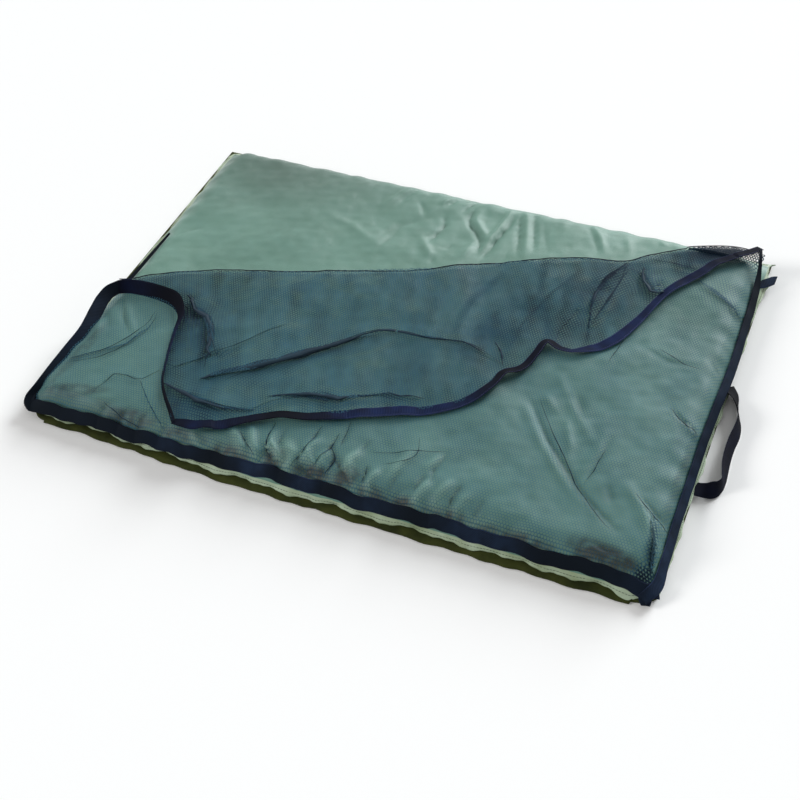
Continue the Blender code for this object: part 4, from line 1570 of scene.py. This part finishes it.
# Loose ends of the binding, and the binding on the bare left edge, as standing tapes
tape_end_far = (
    (496, 296, 19, 2, 10, 1, 0.4),
    (504, 304, 16.5, 1.5, 12, 1.5, 0.8),
    (513, 314, 14.5, 1, 12, 1.5, 0.8),
    (519, 320, 13.5, 0.5, 9, 1.5, 0.6),
)
tape_end_near = (
    (483, -342, 17, 6.5, 5, 3, 0.2),
    (486.5, -353, 13, 8, 3, 2, 0.3),
    (490, -362, 9.5, 8, 2, 1, 0.5),
    (492, -368, 8, 6, 1, 0.5, 0.3),
)
left_edge_tape = (
    (-473.5, -90, 50, -1, 0.5, 4.6, 0),
    (-474, -60, 46.5, -1.5, 0.2, 3.4, 0),
    (-474, -20, 45, -1.6, 0.2, 2.6, 0),
    (-473.5, 30, 44.5, -1.6, 0.2, 1.9, 0),
    (-473, 70, 44, -1.4, 0.2, 1.2, 0),
)
for name, body, table in (
    ("tape_end_far", "right_half", tape_end_far),
    ("tape_end_near", "right_half", tape_end_near),
    ("left_edge_tape", "left_half", left_edge_tape),
):
    path, across, face = standing_frame(table, 60)
    piece = strip(name, path, across, navy_tape, mouth_half_thickness, face)
    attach(piece, body)


# Stitches of the seam strip
seam_out, seam_lift = 0.0358, 0.0006


def seam_row(points):
    fine = curve_points(points, 60)
    path = on_cover(fine[:, 0], fine[:, 1], seam_lift)
    path[:, 0], path[:, 1] = drawn_in(*with_ears(path[:, 0], path[:, 1]))
    return path, np.tile([0.0, 0.0, 1.0], (len(path), 1))


seam_x, seam_y = half_length + seam_out, half_width + seam_out
long_row, short_row = (-half_length, 0, half_length + 0.03), (-half_width, 0, half_width + 0.02)
seam_rows = [seam_row([(x, side * seam_y, 0) for x in long_row]) for side in (-1, 1)]
seam_rows += [seam_row([(side * seam_x, y, 0) for y in short_row]) for side in (-1, 1)]
sewn = stitches("seam_stitches", seam_rows, thread, *seam_stitch)
across_fold(sewn)

# Carry handle: the middle of the webbing in millimetres and how upright it stands, 0 to 1
handle_table = (
    (500, 60, 7.2, 0.1),
    (509, 50, 8.8, 0.3),
    (518, 32, 12, 0.66),
    (527, 10, 13.4, 0.86),
    (533.5, -10, 13.6, 0.8),
    (534.5, -30, 13.2, 0.7),
    (532.5, -55, 13.2, 0.68),
    (532.5, -80, 13.2, 0.68),
    (534.5, -104, 13.4, 0.7),
    (537, -122, 13.6, 0.78),
    (537.5, -136, 13.6, 0.86),
    (532.5, -145.5, 13, 0.72),
    (524, -149, 10.5, 0.3),
    (512, -150, 7.8, 0.06),
    (500, -150, 6.8, 0),
)
webbing_half, webbing_half_thickness, webbing_clearance = 0.0124, 0.0008, 0.0009


def add_handle():
    fine = curve_points(handle_table, 260)
    path = fine[:, :3] / 1000
    across = sideways(path, fine[:, 3] * math.pi / 2) * webbing_half
    lowest = (path - np.abs(across))[:, 2]
    path[:, 2] += np.maximum(webbing_clearance - lowest, 0)
    # Painted shade: the webbing's share of painted light falls to a quarter where it reaches past y = 0
    # toward the far side
    face = 0.25 + 0.75 * step(-path[:, 1], 0.0, 0.03)
    made = strip("webbing_handle", path, across, webbing, webbing_half_thickness, face)
    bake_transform(made)
    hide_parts("handle_right")


add_handle()


# Light, world and floor
def add_light(name, way, wide, strength, colour):
    """An even light from afar. way points to it and wide is its width in degrees."""
    data = bpy.data.lights.new(name, "SUN")
    data.angle = math.radians(wide)
    data.energy = strength
    data.color = colour
    made = bpy.data.objects.new(name, data)
    bpy.context.scene.collection.objects.link(made)
    made.location = way
    made.rotation_euler = (-Vector(way)).to_track_quat("-Z", "Y").to_euler()


add_light("window", (1.3, 3.1, 1.9), 20, 1.75, (0.95, 0.985, 1.0))
add_light("low_window", (0.6, 3.0, 0.95), 18, 1.60, (0.95, 0.985, 1.0))
add_light("side", (-2.0, -1.1, 1.2), 20, 1.35, (1.0, 0.985, 0.96))


def light_world():
    """A white world that lights the mat less than it shows behind it."""
    world = bpy.data.worlds.new("studio")
    bpy.context.scene.world = world
    studio = Shading(world)
    background = studio.nodes["Background"].inputs
    studio.give(background["Color"], (1, 1, 1))
    studio.give(background["Strength"], studio.math("MULTIPLY_ADD", studio.seen(), 0.62, 0.38))


def white_floor():
    made = Shading(bpy.data.materials.new("white_floor"))
    colour = made.mix(made.seen(), (0.8, 0.8, 0.8), (1.0, 1.0, 1.0))
    return made.finish(Base_Color=colour, Roughness=0.9, Specular_IOR_Level=0.1)


light_world()
floor_corners = [(-9, -9, 0), (9, -9, 0), (9, 9, 0), (-9, 9, 0)]
floor = mesh_of("floor", floor_corners, [[(0, 1, 2, 3)]], white_floor())

bpy.context.scene.view_settings.view_transform = "Standard"

bpy.context.view_layer.update()
